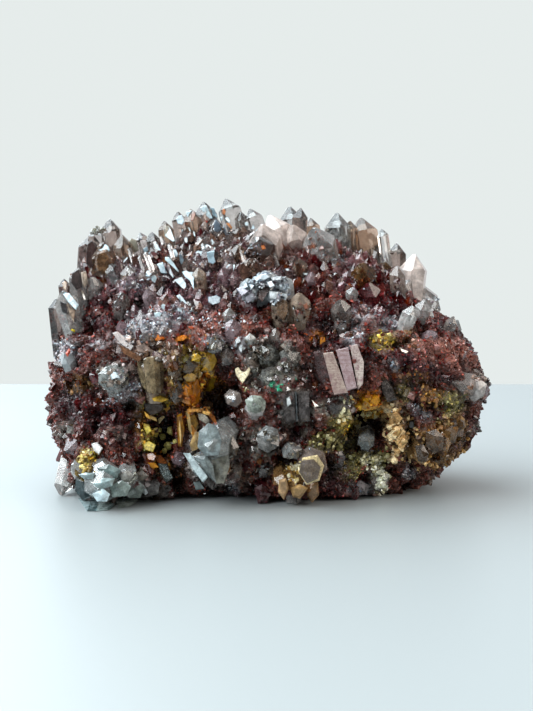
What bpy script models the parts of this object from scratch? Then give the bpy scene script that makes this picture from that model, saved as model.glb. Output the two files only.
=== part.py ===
"""Hematite phantom quartz cluster, one natural solid.

A hand-size plate of intergrown quartz crystals on its own broken quartz and
iron-oxide matrix. Metres, +Z up, the show side faces -Y. The matrix is one
lumpy closed body; hexagonal crystals with six-sided points grow out of it and
are joined to it, because they grew together; the underside is cut flat at Z=0.
"""

import math
import random

import bmesh
import bpy
import numpy as np
from mathutils import Matrix, Vector, noise
from mathutils.bvhtree import BVHTree

# ---------------------------------------------------------------- dimensions
MM = 0.001
SEED = 417
CENTRE = (0.0, -1.0, 36.0)  # mm, middle of the matrix
SQUARENESS = 0.78  # 1 is an ellipsoid, less is boxier
CORE_DETAIL = 4  # icosphere subdivisions of the matrix
BASE_Z = 0.0  # mm, the flat cut it rests on
POINT_SLOPE = 51.8  # degrees between a quartz rhombohedral face and the base

# Front elevation of the matrix, mm: X, Z of its rim, anticlockwise from +X.
RIM = [
    (63.0, 27.5), (60.0, 36.0), (55.0, 44.0), (48.5, 49.0), (43.5, 55.0),
    (38.5, 60.5), (31.0, 66.5), (22.0, 69.5), (11.0, 71.0), (0.0, 71.5),
    (-12.0, 73.5), (-21.0, 73.0), (-30.0, 69.0), (-38.0, 64.5), (-43.0, 65.0),
    (-49.5, 65.5), (-53.0, 59.5), (-56.5, 52.0), (-59.5, 44.0), (-61.5, 35.0),
    (-62.5, 25.0), (-60.0, 14.5), (-57.5, 4.0), (-53.0, -8.0), (-36.0, -15.0),
    (-12.0, -18.0), (10.0, -18.0), (27.0, -15.0), (38.0, -6.0), (45.0, 2.5),
    (52.0, 7.5), (57.5, 12.5), (61.0, 20.0),
]
# Side elevation of the matrix: how far it reaches to the front and the back
# of the middle plane at each height, mm.
HEIGHTS = (-18.0, 0.0, 14.0, 28.0, 42.0, 52.0, 62.0, 72.0)
FRONT = (31.0, 33.5, 36.5, 37.5, 35.5, 31.0, 25.0, 13.0)
BACK = (30.0, 32.0, 35.0, 36.0, 35.0, 32.0, 26.0, 16.0)

# Lumps (+) and hollows (-) on the matrix: X, Y, Z of the middle, radius and
# height, mm. The hollows are the rusty vugs low on the show side.
RELIEF = [
    (-41.0, -34.0, 4.0, 13.0, 12.0),  # quartz chunk at the left foot
    (-50.0, -30.0, 24.0, 14.0, 3.0),
    (7.0, -36.0, 2.0, 8.0, 5.0),
    (-14.0, -37.0, 14.0, 12.0, 3.0),
    (-30.0, -38.0, 38.0, 13.0, 2.5),
    (20.0, -36.0, 33.0, 12.0, 2.5),
    (12.0, -37.0, 11.0, 9.0, 2.5),
    (44.0, -24.0, 34.0, 16.0, 3.0),
    (47.0, -22.0, 15.0, 12.0, 2.5),
    (-26.5, -37.0, 19.0, 7.5, -7.0),
    (-14.5, -38.0, 29.0, 6.5, -6.0),
    (27.0, -36.0, 20.5, 8.0, -9.0),
    (-12.0, -34.0, -2.0, 12.0, -4.0),
    (-20.0, 34.0, 44.0, 16.0, 4.0),
    (26.0, 33.0, 30.0, 18.0, 4.0),
    (2.0, 36.0, 20.0, 13.0, -4.0),
    (-40.0, 24.0, 18.0, 12.0, -3.5),
    (40.0, 18.0, 10.0, 12.0, -3.0),
]

# The front elevation of the crystals is drawn in perspective, from an eye in
# front of the show side. U runs right and V runs down, in drawing units.
EYE = (0.0, -306.0, 54.0)  # mm
DIP = 3.1  # degrees that the eye looks down
SCALE = 1027.0  # drawing units per unit of distance
SHEET = (266.5, 355.5)  # drawing units, the middle of the sheet

# Main crystals: U, V of the tip, U, V of the foot, width across in mm, and how
# much nearer the eye the tip is than the foot, mm.
MAIN = [
    # tower at the left end of the crest
    (110, 219, 113, 250, 5.6, 1), (91, 236, 89, 268, 6.4, 3),
    (103, 243, 101, 276, 6.4, 5), (122, 235, 125, 262, 5.0, 1),
    (133, 240, 138, 258, 3.6, 0), (140, 233, 146, 252, 3.4, -1),
    (97, 227, 97, 243, 4.0, 0),
    # tall clear prisms on the left edge
    (64, 279, 68, 314, 3.4, 1), (78, 268, 81, 318, 5.2, 2),
    (62, 291, 76, 332, 5.4, 5), (56, 299, 61, 346, 4.8, 1),
    (92, 277, 96, 298, 4.6, 4), (122, 293, 121, 312, 5.0, 4),
    # crest, left to right
    (152, 232, 155, 252, 4.0, 0), (165, 221, 168, 247, 4.6, 1),
    (178, 212, 182, 237, 4.6, 0), (191, 209, 196, 236, 5.0, 2),
    (204, 202, 209, 234, 5.8, 0), (226, 199, 235, 229, 6.0, -1), (241, 212, 243, 230, 3.6, 2),
    (250, 209, 258, 232, 5.0, 0), (262, 225, 268, 254, 8.2, 6), (270, 215, 283, 246, 7.6, 1),
    (260, 239, 263, 259, 6.2, 9), (290, 207, 293, 232, 6.4, 0),
    (301, 208, 299, 232, 4.4, 1), (293, 225, 296, 248, 6.0, 5),
    (311, 218, 314, 238, 4.4, 0), (314, 228, 323, 258, 8.8, 5),
    (337, 213, 338, 243, 7.4, 0), (350, 221, 352, 246, 3.6, 1),
    (361, 218, 367, 250, 7.4, 0), (382, 229, 385, 252, 3.2, 0),
    (397, 243, 397, 264, 5.4, 0), (415, 254, 411, 290, 7.2, 1),
    (440, 311, 414, 291, 6.0, 1), (397, 266, 398, 300, 4.4, 4),
    # shoulder below the crest
    (170, 250, 184, 280, 3.6, 4), (185, 258, 200, 290, 3.6, 4), (148, 262, 160, 290, 3.4, 4),
    (198, 268, 201, 296, 3.8, 4), (238, 245, 240, 264, 3.8, 4),
    (250, 258, 252, 281, 5.4, 5), (281, 293, 283, 322, 4.6, 4),
    (299, 293, 299, 323, 5.0, 5), (299, 259, 301, 278, 3.8, 4),
    (266, 271, 268, 296, 6.4, 6), (248, 279, 252, 302, 5.0, 6),
    (284, 277, 286, 300, 4.8, 6), (213, 250, 216, 272, 3.8, 4),
    (362, 263, 365, 288, 6.0, 5), (369, 283, 371, 303, 5.2, 5),
    (425, 300, 420, 322, 4.2, 4), (340, 300, 342, 322, 4.2, 5),
    # left flank and foot
    (64, 353, 71, 368, 4.4, 4), (112, 368, 118, 392, 6.4, 6),
    (151, 356, 154, 398, 5.2, 4), (61, 496, 70, 458, 4.4, 3), (100, 489, 106, 474, 9.0, 13),
    (128, 486, 124, 468, 6.0, 9), (76, 478, 86, 462, 5.0, 6),
    # middle of the show side
    (208, 447, 222, 436, 8.0, 11), (193, 470, 212, 458, 6.0, 9),
    (269, 438, 268, 436, 5.4, 8), (290, 452, 289, 449, 4.2, 7),
    (313, 464, 311, 461, 7.2, 9), (255, 403, 256, 412, 5.0, 6),
    (282, 487, 280, 472, 4.2, 6), (296, 490, 292, 474, 4.6, 7),
    (295, 509, 292, 488, 3.8, 4), (266, 503, 262, 480, 4.0, 5),
    (309, 492, 306, 476, 3.8, 6),
    # low right
    (486, 388, 462, 384, 6.4, 1), (366, 444, 366, 436, 4.4, 7),
    (447, 452, 438, 432, 5.2, 4), (425, 465, 420, 442, 5.4, 5),
    (463, 436, 450, 424, 4.6, 3), (383, 492, 378, 474, 4.8, 4),
    (356, 500, 352, 480, 4.6, 4),
]
# Blocks of a split crystal on the show side: U, V of the top and the foot,
# width and thickness, mm.
LATHS = [
    (325, 353, 331, 396, 2.7, 3.4), (336, 350, 342, 394, 2.9, 3.8),
    (350, 346, 357, 392, 3.6, 4.2),
]

CROWN_COUNT = 62  # seeded crystals over the crest, the ends and the back
FLANK_COUNT = 18  # smaller ones on the lower sides and the back


# ------------------------------------------------------------------ matrix
def rim_radius(theta):
    """Distance from the matrix's middle to its rim in the front elevation."""
    angles, radii = [], []
    for x, z in RIM:
        angles.append(math.atan2(z - CENTRE[2], x - CENTRE[0]) % (2 * math.pi))
        radii.append(math.hypot(x - CENTRE[0], z - CENTRE[2]))
    order = np.argsort(angles)
    a = np.array(angles)[order]
    r = np.array(radii)[order]
    a = np.concatenate([a - 2 * math.pi, a, a + 2 * math.pi])
    r = np.concatenate([r, r, r])
    return np.interp(np.asarray(theta) % (2 * math.pi), a, r)


def core_points(unit):
    """Moves points of a unit sphere, (n, 3), onto the matrix, in mm."""
    a, b, c = unit[:, 0], unit[:, 1], unit[:, 2]
    rho = np.sqrt(np.maximum(a * a + c * c, 1e-12))
    radius = rim_radius(np.arctan2(c, a)) * rho**SQUARENESS
    x = CENTRE[0] + radius * a / rho
    z = CENTRE[2] + radius * c / rho
    reach = np.where(b < 0, np.interp(z, HEIGHTS, FRONT), np.interp(z, HEIGHTS, BACK))
    y = CENTRE[1] + np.sign(b) * reach * np.abs(b) ** SQUARENESS
    return np.stack([x, y, z], axis=1)


def relief(p, normal):
    """How far the matrix stands out at p, mm, from its lumps and waves."""
    rise = 0.0
    for x, y, z, r, h in RELIEF:
        d2 = (p[0] - x) ** 2 + (p[1] - y) ** 2 + (p[2] - z) ** 2
        rise += h * math.exp(-d2 / (r * r))
    v = Vector(p)
    rise += 1.7 * noise.noise(v * 0.055 + Vector((3.1, 7.7, 1.3)))
    rise += 1.0 * noise.noise(v * 0.13 + Vector((9.2, 1.4, 5.5)))
    return rise


def core_mesh(detail):
    """The matrix as a bmesh, in mm."""
    bm = bmesh.new()
    bmesh.ops.create_icosphere(bm, subdivisions=detail, radius=1.0)
    unit = np.array([v.co[:] for v in bm.verts])
    unit /= np.linalg.norm(unit, axis=1)[:, None]
    for v, p in zip(bm.verts, core_points(unit)):
        v.co = p
    bm.normal_update()
    moved = [v.co + v.normal * relief(v.co, v.normal) for v in bm.verts]
    for v, p in zip(bm.verts, moved):
        v.co = p
    bm.normal_update()
    return bm


# ---------------------------------------------------------------- crystals
def crystal(bm, foot, tip, width, roll, rng):
    """Adds one closed hexagonal crystal: a prism with a six-sided point."""
    foot, tip = Vector(foot), Vector(tip)
    axis = (tip - foot).normalized()
    length = (tip - foot).length
    one = bmesh.new()
    bmesh.ops.create_cone(
        one, cap_ends=True, cap_tris=False, segments=6, radius1=width / math.sqrt(3),
        radius2=width / math.sqrt(3), depth=length,
        matrix=Matrix.Translation((0, 0, -length / 2)),
    )
    squash = 1.0 + rng.uniform(-0.18, 0.18)
    for v in one.verts:
        v.co.x *= squash
    slope = math.radians(POINT_SLOPE)
    for k in range(6):  # alternate faces of the point are large and small
        set_back = width * (rng.uniform(0.0, 0.04) + (0.05 if k % 2 else 0.0))
        turn = math.radians(60 * k)
        n = Vector((math.sin(slope) * math.cos(turn), math.sin(slope) * math.sin(turn), math.cos(slope)))
        geom = one.verts[:] + one.edges[:] + one.faces[:]
        cut = bmesh.ops.bisect_plane(
            one, geom=geom, dist=1e-5, plane_co=n * set_back, plane_no=n, clear_outer=True
        )
        ring = [e for e in cut["geom_cut"] if isinstance(e, bmesh.types.BMEdge)]
        if len(ring) >= 3:
            bmesh.ops.holes_fill(one, edges=ring, sides=0)
    bmesh.ops.remove_doubles(one, verts=one.verts[:], dist=width * 0.01)
    bmesh.ops.dissolve_degenerate(one, edges=one.edges[:], dist=width * 0.005)
    bmesh.ops.recalc_face_normals(one, faces=one.faces[:])
    turn = Vector((0, 0, 1)).rotation_difference(axis).to_matrix().to_4x4()
    one.transform(Matrix.Translation(tip) @ turn @ Matrix.Rotation(roll, 4, "Z"))
    made = bpy.data.meshes.new("crystal")
    one.to_mesh(made)
    one.free()
    bm.from_mesh(made)
    bpy.data.meshes.remove(made)


def on_sheet(u, v, y):
    """The point at depth y, mm, that the front elevation shows at (u, v)."""
    dip = math.radians(DIP)
    forward = Vector((0, math.cos(dip), -math.sin(dip)))
    up = Vector((0, math.sin(dip), math.cos(dip)))
    ray = forward + Vector((1, 0, 0)) * ((u - SHEET[0]) / SCALE) + up * ((SHEET[1] - v) / SCALE)
    eye = Vector(EYE)
    return eye + ray * ((y - eye.y) / ray.y), ray.normalized()


def foot_on(tree, u, v):
    """Where the sight line through (u, v) meets the matrix."""
    for dv in (0, 3, 6, 10, 15, 22, 30):  # past its outline: a little lower
        _, ray = on_sheet(u, v + dv, 0.0)
        hit = tree.ray_cast(Vector(EYE), ray)[0]
        if hit is not None:
            return on_sheet(u, v, hit.y + 2.0)[0]
    return on_sheet(u, v, 0.0)[0]


def block(bm, top, foot, width, depth, inward):
    """Adds one flat-ended block of a split crystal, sunk into the matrix."""
    top, foot = Vector(top), Vector(foot)
    along = (top - foot).normalized()
    inward = (inward - along * inward.dot(along)).normalized()
    side = along.cross(inward)
    made = bmesh.ops.create_cube(bm, size=1.0)["verts"]
    frame = Matrix((side, inward, along)).transposed().to_4x4()
    size = Matrix.Diagonal((width, depth, (top - foot).length, 1.0))
    middle = (top + foot) / 2 + inward * (depth * 0.5 - 1.2)
    bmesh.ops.transform(bm, matrix=Matrix.Translation(middle) @ frame @ size, verts=made)


def faced(axis, rng):
    """The roll that turns one face of a point up and to the left front."""
    turn = Vector((0, 0, 1)).rotation_difference(axis).to_matrix()
    aim = turn.inverted() @ Vector((-0.46, -0.72, 0.60))
    return math.atan2(aim.y, aim.x) + rng.uniform(-0.16, 0.16)


def seeded_spots(core, rng, count, gap, wanted):
    """Picks spots on the matrix, no nearer to each other than gap, mm."""
    faces = [f for f in core.faces if f.calc_center_median().z > 3.0]
    weights = [f.calc_area() for f in faces]
    spots = []
    for _ in range(count * 60):
        face = rng.choices(faces, weights)[0]
        a, b = rng.random(), rng.random()
        if a + b > 1:
            a, b = 1 - a, 1 - b
        p0, p1, p2 = (v.co for v in face.verts)
        p = p0 + (p1 - p0) * a + (p2 - p0) * b
        if not wanted(p, face.normal):
            continue
        if all((p - q).length > gap for q, _ in spots):
            spots.append((p.copy(), face.normal.copy()))
        if len(spots) >= count:
            break
    return spots


def jitter(rng, amount):
    return Vector((rng.gauss(0, amount), rng.gauss(0, amount), rng.gauss(0, amount)))


def main():
    for ob in list(bpy.data.objects):
        bpy.data.objects.remove(ob, do_unlink=True)
    rng = random.Random(SEED)

    core = core_mesh(CORE_DETAIL)
    tree = BVHTree.FromBMesh(core)

    bm = bmesh.new()
    tips = []
    for u0, v0, u1, v1, width, nearer in MAIN:
        foot = foot_on(tree, u1, v1)
        root = 3.0
        if foot.z > 60 and nearer < 4:  # the crest is a few crystals deep
            back = rng.uniform(-2.0, 8.0)
            foot = on_sheet(u1, v1, foot.y + back)[0]
            root = 5.0 + max(0.0, back) * 0.6
        tip, _ = on_sheet(u0, v0, foot.y - nearer)
        axis = (tip - foot).normalized()
        crystal(bm, foot - axis * root, tip, width, faced(axis, rng), rng)
        tips.append(((tip + foot) / 2, width))
    for u0, v0, u1, v1, width, depth in LATHS:
        foot = foot_on(tree, u1, v1) + Vector((0, -2.0, 0))
        top, _ = on_sheet(u0, v0, foot.y)
        block(bm, top, foot, width, depth, Vector((0, 1, 0)))
        tips.append(((top + foot) / 2, 7.0))

    def clear(p, room):
        return all((p - q).length > room + w * 0.4 for q, w in tips)

    def crown(p, n):
        return (p.z > 44 or (p.y > 6 and p.z > 30)) and n.z > -0.2 and clear(p, 1.6)

    def flank(p, n):
        return 6 < p.z <= 44 and n.z > -0.5 and clear(p, 2.2)

    for p, n in seeded_spots(core, rng, CROWN_COUNT, 4.2, crown):
        axis = (n + Vector((0, -0.1 if p.y < 10 else 0.1, 0.8)) + jitter(rng, 0.16)).normalized()
        width = rng.uniform(2.6, 4.8)
        stand = width * rng.uniform(0.8, 1.35)
        crystal(bm, p - axis * 3.0, p + axis * stand, width, faced(axis, rng), rng)
    for p, n in seeded_spots(core, rng, FLANK_COUNT, 6.5, flank):
        axis = (n + jitter(rng, 0.30)).normalized()
        width = rng.uniform(3.0, 5.6)
        stand = width * rng.uniform(0.45, 0.8)
        crystal(bm, p - axis * 3.0, p + axis * stand, width, faced(axis, rng), rng)

    for work in (bm, core):
        bmesh.ops.transform(work, matrix=Matrix.Scale(MM, 4), verts=work.verts[:])

    cluster = bpy.data.meshes.new("crystals")
    bm.to_mesh(cluster)
    bm.free()
    grown = bpy.data.objects.new("crystals", cluster)
    bpy.context.collection.objects.link(grown)
    grown.hide_render = True
    grown.display_type = "WIRE"

    # Everything below the rest plane is cut away, which leaves it flat.
    under = bmesh.new()
    bmesh.ops.create_cube(
        under, size=1.0,
        matrix=Matrix.Translation((0, 0, (BASE_Z - 50) * MM)) @ Matrix.Diagonal((0.2, 0.2, 0.1, 1)),
    )
    slab = bpy.data.meshes.new("ground_cut")
    under.to_mesh(slab)
    under.free()
    cutter = bpy.data.objects.new("ground_cut", slab)
    bpy.context.collection.objects.link(cutter)
    cutter.hide_render = True
    cutter.display_type = "WIRE"

    body = bpy.data.meshes.new("quartz_cluster")
    core.to_mesh(body)
    core.free()
    node = bpy.data.objects.new("quartz_cluster", body)
    bpy.context.collection.objects.link(node)
    join = node.modifiers.new("grown_together", "BOOLEAN")
    join.operation = "UNION"
    join.solver = "EXACT"
    join.use_self = True
    join.object = grown
    cut = node.modifiers.new("flat_base", "BOOLEAN")
    cut.operation = "DIFFERENCE"
    cut.solver = "EXACT"
    cut.object = cutter

    quartz = bpy.data.materials.new("hematite_quartz")
    quartz.use_nodes = True
    shader = quartz.node_tree.nodes["Principled BSDF"]
    shader.inputs["Base Color"].default_value = (0.19, 0.105, 0.10, 1.0)
    shader.inputs["Roughness"].default_value = 0.24
    shader.inputs["Metallic"].default_value = 0.0
    node.data.materials.append(quartz)


main()
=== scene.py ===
"""Looks of the hematite phantom quartz cluster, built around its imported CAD."""

import math
import random

import bmesh
import bpy
import numpy as np
from mathutils import Matrix, Vector, noise
from mathutils.bvhtree import BVHTree
from mathutils.kdtree import KDTree


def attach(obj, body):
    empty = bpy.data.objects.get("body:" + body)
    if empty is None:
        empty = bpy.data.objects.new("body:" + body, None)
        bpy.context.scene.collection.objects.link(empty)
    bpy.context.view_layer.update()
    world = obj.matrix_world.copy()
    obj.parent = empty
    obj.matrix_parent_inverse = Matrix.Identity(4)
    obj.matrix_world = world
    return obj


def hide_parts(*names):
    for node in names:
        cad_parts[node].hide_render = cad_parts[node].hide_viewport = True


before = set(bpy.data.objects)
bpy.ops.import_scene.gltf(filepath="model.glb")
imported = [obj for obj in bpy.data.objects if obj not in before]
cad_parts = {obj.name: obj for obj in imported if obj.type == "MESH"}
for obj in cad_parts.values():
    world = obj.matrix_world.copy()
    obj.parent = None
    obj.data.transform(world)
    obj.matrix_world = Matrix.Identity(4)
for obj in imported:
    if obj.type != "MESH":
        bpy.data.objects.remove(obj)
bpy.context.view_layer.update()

# ------------------------------------------------------------------ the form
# The same numbers and steps as part.py, in mm, so the fine surface lies where
# the CAD solid lies.
MM = 0.001
SEED = 417
CENTRE = (0.0, -1.0, 36.0)
SQUARENESS = 0.78
CORE_DETAIL = 4
POINT_SLOPE = 51.8
RIM = [
    (63.0, 27.5), (60.0, 36.0), (55.0, 44.0), (48.5, 49.0), (43.5, 55.0),
    (38.5, 60.5), (31.0, 66.5), (22.0, 69.5), (11.0, 71.0), (0.0, 71.5),
    (-12.0, 73.5), (-21.0, 73.0), (-30.0, 69.0), (-38.0, 64.5), (-43.0, 65.0),
    (-49.5, 65.5), (-53.0, 59.5), (-56.5, 52.0), (-59.5, 44.0), (-61.5, 35.0),
    (-62.5, 25.0), (-60.0, 14.5), (-57.5, 4.0), (-53.0, -8.0), (-36.0, -15.0),
    (-12.0, -18.0), (10.0, -18.0), (27.0, -15.0), (38.0, -6.0), (45.0, 2.5),
    (52.0, 7.5), (57.5, 12.5), (61.0, 20.0),
]
HEIGHTS = (-18.0, 0.0, 14.0, 28.0, 42.0, 52.0, 62.0, 72.0)
FRONT = (31.0, 33.5, 36.5, 37.5, 35.5, 31.0, 25.0, 13.0)
BACK = (30.0, 32.0, 35.0, 36.0, 35.0, 32.0, 26.0, 16.0)
RELIEF = [
    (-41.0, -34.0, 4.0, 13.0, 12.0), (-50.0, -30.0, 24.0, 14.0, 3.0),
    (7.0, -36.0, 2.0, 8.0, 5.0), (-14.0, -37.0, 14.0, 12.0, 3.0),
    (-30.0, -38.0, 38.0, 13.0, 2.5), (20.0, -36.0, 33.0, 12.0, 2.5),
    (12.0, -37.0, 11.0, 9.0, 2.5), (44.0, -24.0, 34.0, 16.0, 3.0),
    (47.0, -22.0, 15.0, 12.0, 2.5), (-26.5, -37.0, 19.0, 7.5, -7.0),
    (-14.5, -38.0, 29.0, 6.5, -6.0), (27.0, -36.0, 20.5, 8.0, -9.0),
    (-12.0, -34.0, -2.0, 12.0, -4.0), (-20.0, 34.0, 44.0, 16.0, 4.0),
    (26.0, 33.0, 30.0, 18.0, 4.0), (2.0, 36.0, 20.0, 13.0, -4.0),
    (-40.0, 24.0, 18.0, 12.0, -3.5), (40.0, 18.0, 10.0, 12.0, -3.0),
]
EYE = (0.0, -306.0, 54.0)
DIP = 3.1
SCALE = 1027.0
SHEET = (266.5, 355.5)

# Main crystals: U, V of the tip, U, V of the foot, width, how much nearer the
# eye the tip is, and the kind of quartz.
MAIN = [
    (110, 219, 113, 250, 5.6, 1, "smoky"), (91, 236, 89, 268, 6.4, 3, "dark"),
    (103, 243, 101, 276, 6.4, 5, "brown"), (122, 235, 125, 262, 5.0, 1, "brown"),
    (133, 240, 138, 258, 3.6, 0, "clear"), (140, 233, 146, 252, 3.4, -1, "clear"),
    (97, 227, 97, 243, 4.0, 0, "clear"),
    (64, 279, 68, 314, 3.4, 1, "clear"), (78, 268, 81, 318, 5.2, 2, "dark"),
    (62, 291, 76, 332, 5.4, 5, "clear"), (56, 299, 61, 346, 4.8, 1, "clear"),
    (92, 277, 96, 298, 4.6, 4, "clear"), (122, 293, 121, 312, 5.0, 4, "dark"),
    (152, 232, 155, 252, 4.0, 0, "clear"), (165, 221, 168, 247, 4.6, 1, "brown"),
    (178, 212, 182, 237, 4.6, 0, "smoky"), (191, 209, 196, 236, 5.0, 2, "brown"),
    (204, 202, 209, 234, 5.8, 0, "smoky"), (226, 199, 235, 229, 6.0, -1, "clear"),
    (241, 212, 243, 230, 3.6, 2, "clear"),
    (250, 209, 258, 232, 5.0, 0, "clear"), (262, 225, 268, 254, 8.2, 6, "pink"),
    (270, 215, 283, 246, 7.6, 1, "pink"),
    (260, 239, 263, 259, 6.2, 9, "dark"), (290, 207, 293, 232, 6.4, 0, "grey"),
    (301, 208, 299, 232, 4.4, 1, "dark"), (293, 225, 296, 248, 6.0, 5, "pink"),
    (311, 218, 314, 238, 4.4, 0, "brown"), (314, 228, 323, 258, 8.8, 5, "milky"),
    (337, 213, 338, 243, 7.4, 0, "grey"), (350, 221, 352, 246, 3.6, 1, "brown"),
    (361, 218, 367, 250, 7.4, 0, "brown"), (382, 229, 385, 252, 3.2, 0, "clear"),
    (397, 243, 397, 264, 5.4, 0, "smoky"), (415, 254, 411, 290, 7.2, 1, "pink"),
    (440, 311, 414, 291, 6.0, 1, "clear"), (397, 266, 398, 300, 4.4, 4, "smoky"),
    (170, 250, 184, 280, 3.6, 4, "smoky"), (185, 258, 200, 290, 3.6, 4, "smoky"),
    (148, 262, 160, 290, 3.4, 4, "smoky"),
    (198, 268, 201, 296, 3.8, 4, "brown"), (238, 245, 240, 264, 3.8, 4, "brown"),
    (250, 258, 252, 281, 5.4, 5, "brown"), (281, 293, 283, 322, 4.6, 4, "brown"),
    (299, 293, 299, 323, 5.0, 5, "brown"), (299, 259, 301, 278, 3.8, 4, "brown"),
    (266, 271, 268, 296, 6.4, 6, "frost"), (248, 279, 252, 302, 5.0, 6, "frost"),
    (284, 277, 286, 300, 4.8, 6, "frost"), (213, 250, 216, 272, 3.8, 4, "smoky"),
    (362, 263, 365, 288, 6.0, 5, "amber"), (369, 283, 371, 303, 5.2, 5, "garnet"),
    (425, 300, 420, 322, 4.2, 4, "clear"), (340, 300, 342, 322, 4.2, 5, "dark"),
    (64, 353, 71, 368, 4.4, 4, "frost"), (112, 368, 118, 392, 6.4, 6, "grey"),
    (151, 356, 154, 398, 5.2, 4, "brown"), (61, 496, 70, 458, 4.4, 3, "clear"),
    (100, 489, 106, 474, 9.0, 13, "grey"),
    (128, 486, 124, 468, 6.0, 9, "grey"), (76, 478, 86, 462, 5.0, 6, "clear"),
    (208, 447, 222, 436, 8.0, 11, "grey"), (193, 470, 212, 458, 6.0, 9, "grey"),
    (269, 438, 268, 436, 5.4, 8, "grey"), (290, 452, 289, 449, 4.2, 7, "grey"),
    (313, 464, 311, 461, 7.2, 9, "smoky"), (255, 403, 256, 412, 5.0, 6, "milky"),
    (282, 487, 280, 472, 4.2, 6, "amber"), (296, 490, 292, 474, 4.6, 7, "amber"),
    (295, 509, 292, 488, 3.8, 4, "clear"), (266, 503, 262, 480, 4.0, 5, "garnet"),
    (309, 492, 306, 476, 3.8, 6, "amber"),
    (486, 388, 462, 384, 6.4, 1, "smoky"), (366, 444, 366, 436, 4.4, 7, "grey"),
    (447, 452, 438, 432, 5.2, 4, "amber"), (425, 465, 420, 442, 5.4, 5, "amber"),
    (463, 436, 450, 424, 4.6, 3, "smoky"), (383, 492, 378, 474, 4.8, 4, "smoky"),
    (356, 500, 352, 480, 4.6, 4, "garnet"),
]
LATHS = [
    (325, 353, 331, 396, 2.7, 3.4), (336, 350, 342, 394, 2.9, 3.8),
    (350, 346, 357, 392, 3.6, 4.2),
]
CROWN_COUNT = 62
FLANK_COUNT = 18


def rim_radius(theta):
    angles, radii = [], []
    for x, z in RIM:
        angles.append(math.atan2(z - CENTRE[2], x - CENTRE[0]) % (2 * math.pi))
        radii.append(math.hypot(x - CENTRE[0], z - CENTRE[2]))
    order = np.argsort(angles)
    a = np.array(angles)[order]
    r = np.array(radii)[order]
    a = np.concatenate([a - 2 * math.pi, a, a + 2 * math.pi])
    r = np.concatenate([r, r, r])
    return np.interp(np.asarray(theta) % (2 * math.pi), a, r)


def core_points(unit):
    a, b, c = unit[:, 0], unit[:, 1], unit[:, 2]
    rho = np.sqrt(np.maximum(a * a + c * c, 1e-12))
    radius = rim_radius(np.arctan2(c, a)) * rho**SQUARENESS
    x = CENTRE[0] + radius * a / rho
    z = CENTRE[2] + radius * c / rho
    reach = np.where(b < 0, np.interp(z, HEIGHTS, FRONT), np.interp(z, HEIGHTS, BACK))
    y = CENTRE[1] + np.sign(b) * reach * np.abs(b) ** SQUARENESS
    return np.stack([x, y, z], axis=1)


def relief(p, normal):
    rise = 0.0
    for x, y, z, r, h in RELIEF:
        d2 = (p[0] - x) ** 2 + (p[1] - y) ** 2 + (p[2] - z) ** 2
        rise += h * math.exp(-d2 / (r * r))
    v = Vector(p)
    rise += 1.7 * noise.noise(v * 0.055 + Vector((3.1, 7.7, 1.3)))
    rise += 1.0 * noise.noise(v * 0.13 + Vector((9.2, 1.4, 5.5)))
    return rise


def core_mesh(detail, fine=None):
    bm = bmesh.new()
    bmesh.ops.create_icosphere(bm, subdivisions=detail, radius=1.0)
    unit = np.array([v.co[:] for v in bm.verts])
    unit /= np.linalg.norm(unit, axis=1)[:, None]
    for v, p in zip(bm.verts, core_points(unit)):
        v.co = p
    bm.normal_update()
    moved = [v.co + v.normal * relief(v.co, v.normal) for v in bm.verts]
    for v, p in zip(bm.verts, moved):
        v.co = p
    bm.normal_update()
    if fine:
        moved = [v.co + v.normal * fine(v.co) for v in bm.verts]
        for v, p in zip(bm.verts, moved):
            v.co = p
        bm.normal_update()
    return bm


def on_sheet(u, v, y):
    dip = math.radians(DIP)
    forward = Vector((0, math.cos(dip), -math.sin(dip)))
    up = Vector((0, math.sin(dip), math.cos(dip)))
    ray = forward + Vector((1, 0, 0)) * ((u - SHEET[0]) / SCALE) + up * ((SHEET[1] - v) / SCALE)
    eye = Vector(EYE)
    return eye + ray * ((y - eye.y) / ray.y), ray.normalized()


def sheet_of(p):
    """U, V of a point, mm: the inverse of on_sheet. Takes (n, 3)."""
    dip = math.radians(DIP)
    d = np.asarray(p, float).reshape(-1, 3) - np.array(EYE)
    depth = d[:, 1] * math.cos(dip) - d[:, 2] * math.sin(dip)
    rise = d[:, 1] * math.sin(dip) + d[:, 2] * math.cos(dip)
    return SHEET[0] + SCALE * d[:, 0] / depth, SHEET[1] - SCALE * rise / depth


def foot_on(tree, u, v):
    for dv in (0, 3, 6, 10, 15, 22, 30):
        _, ray = on_sheet(u, v + dv, 0.0)
        hit = tree.ray_cast(Vector(EYE), ray)[0]
        if hit is not None:
            return on_sheet(u, v, hit.y + 2.0)[0]
    return on_sheet(u, v, 0.0)[0]


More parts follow.
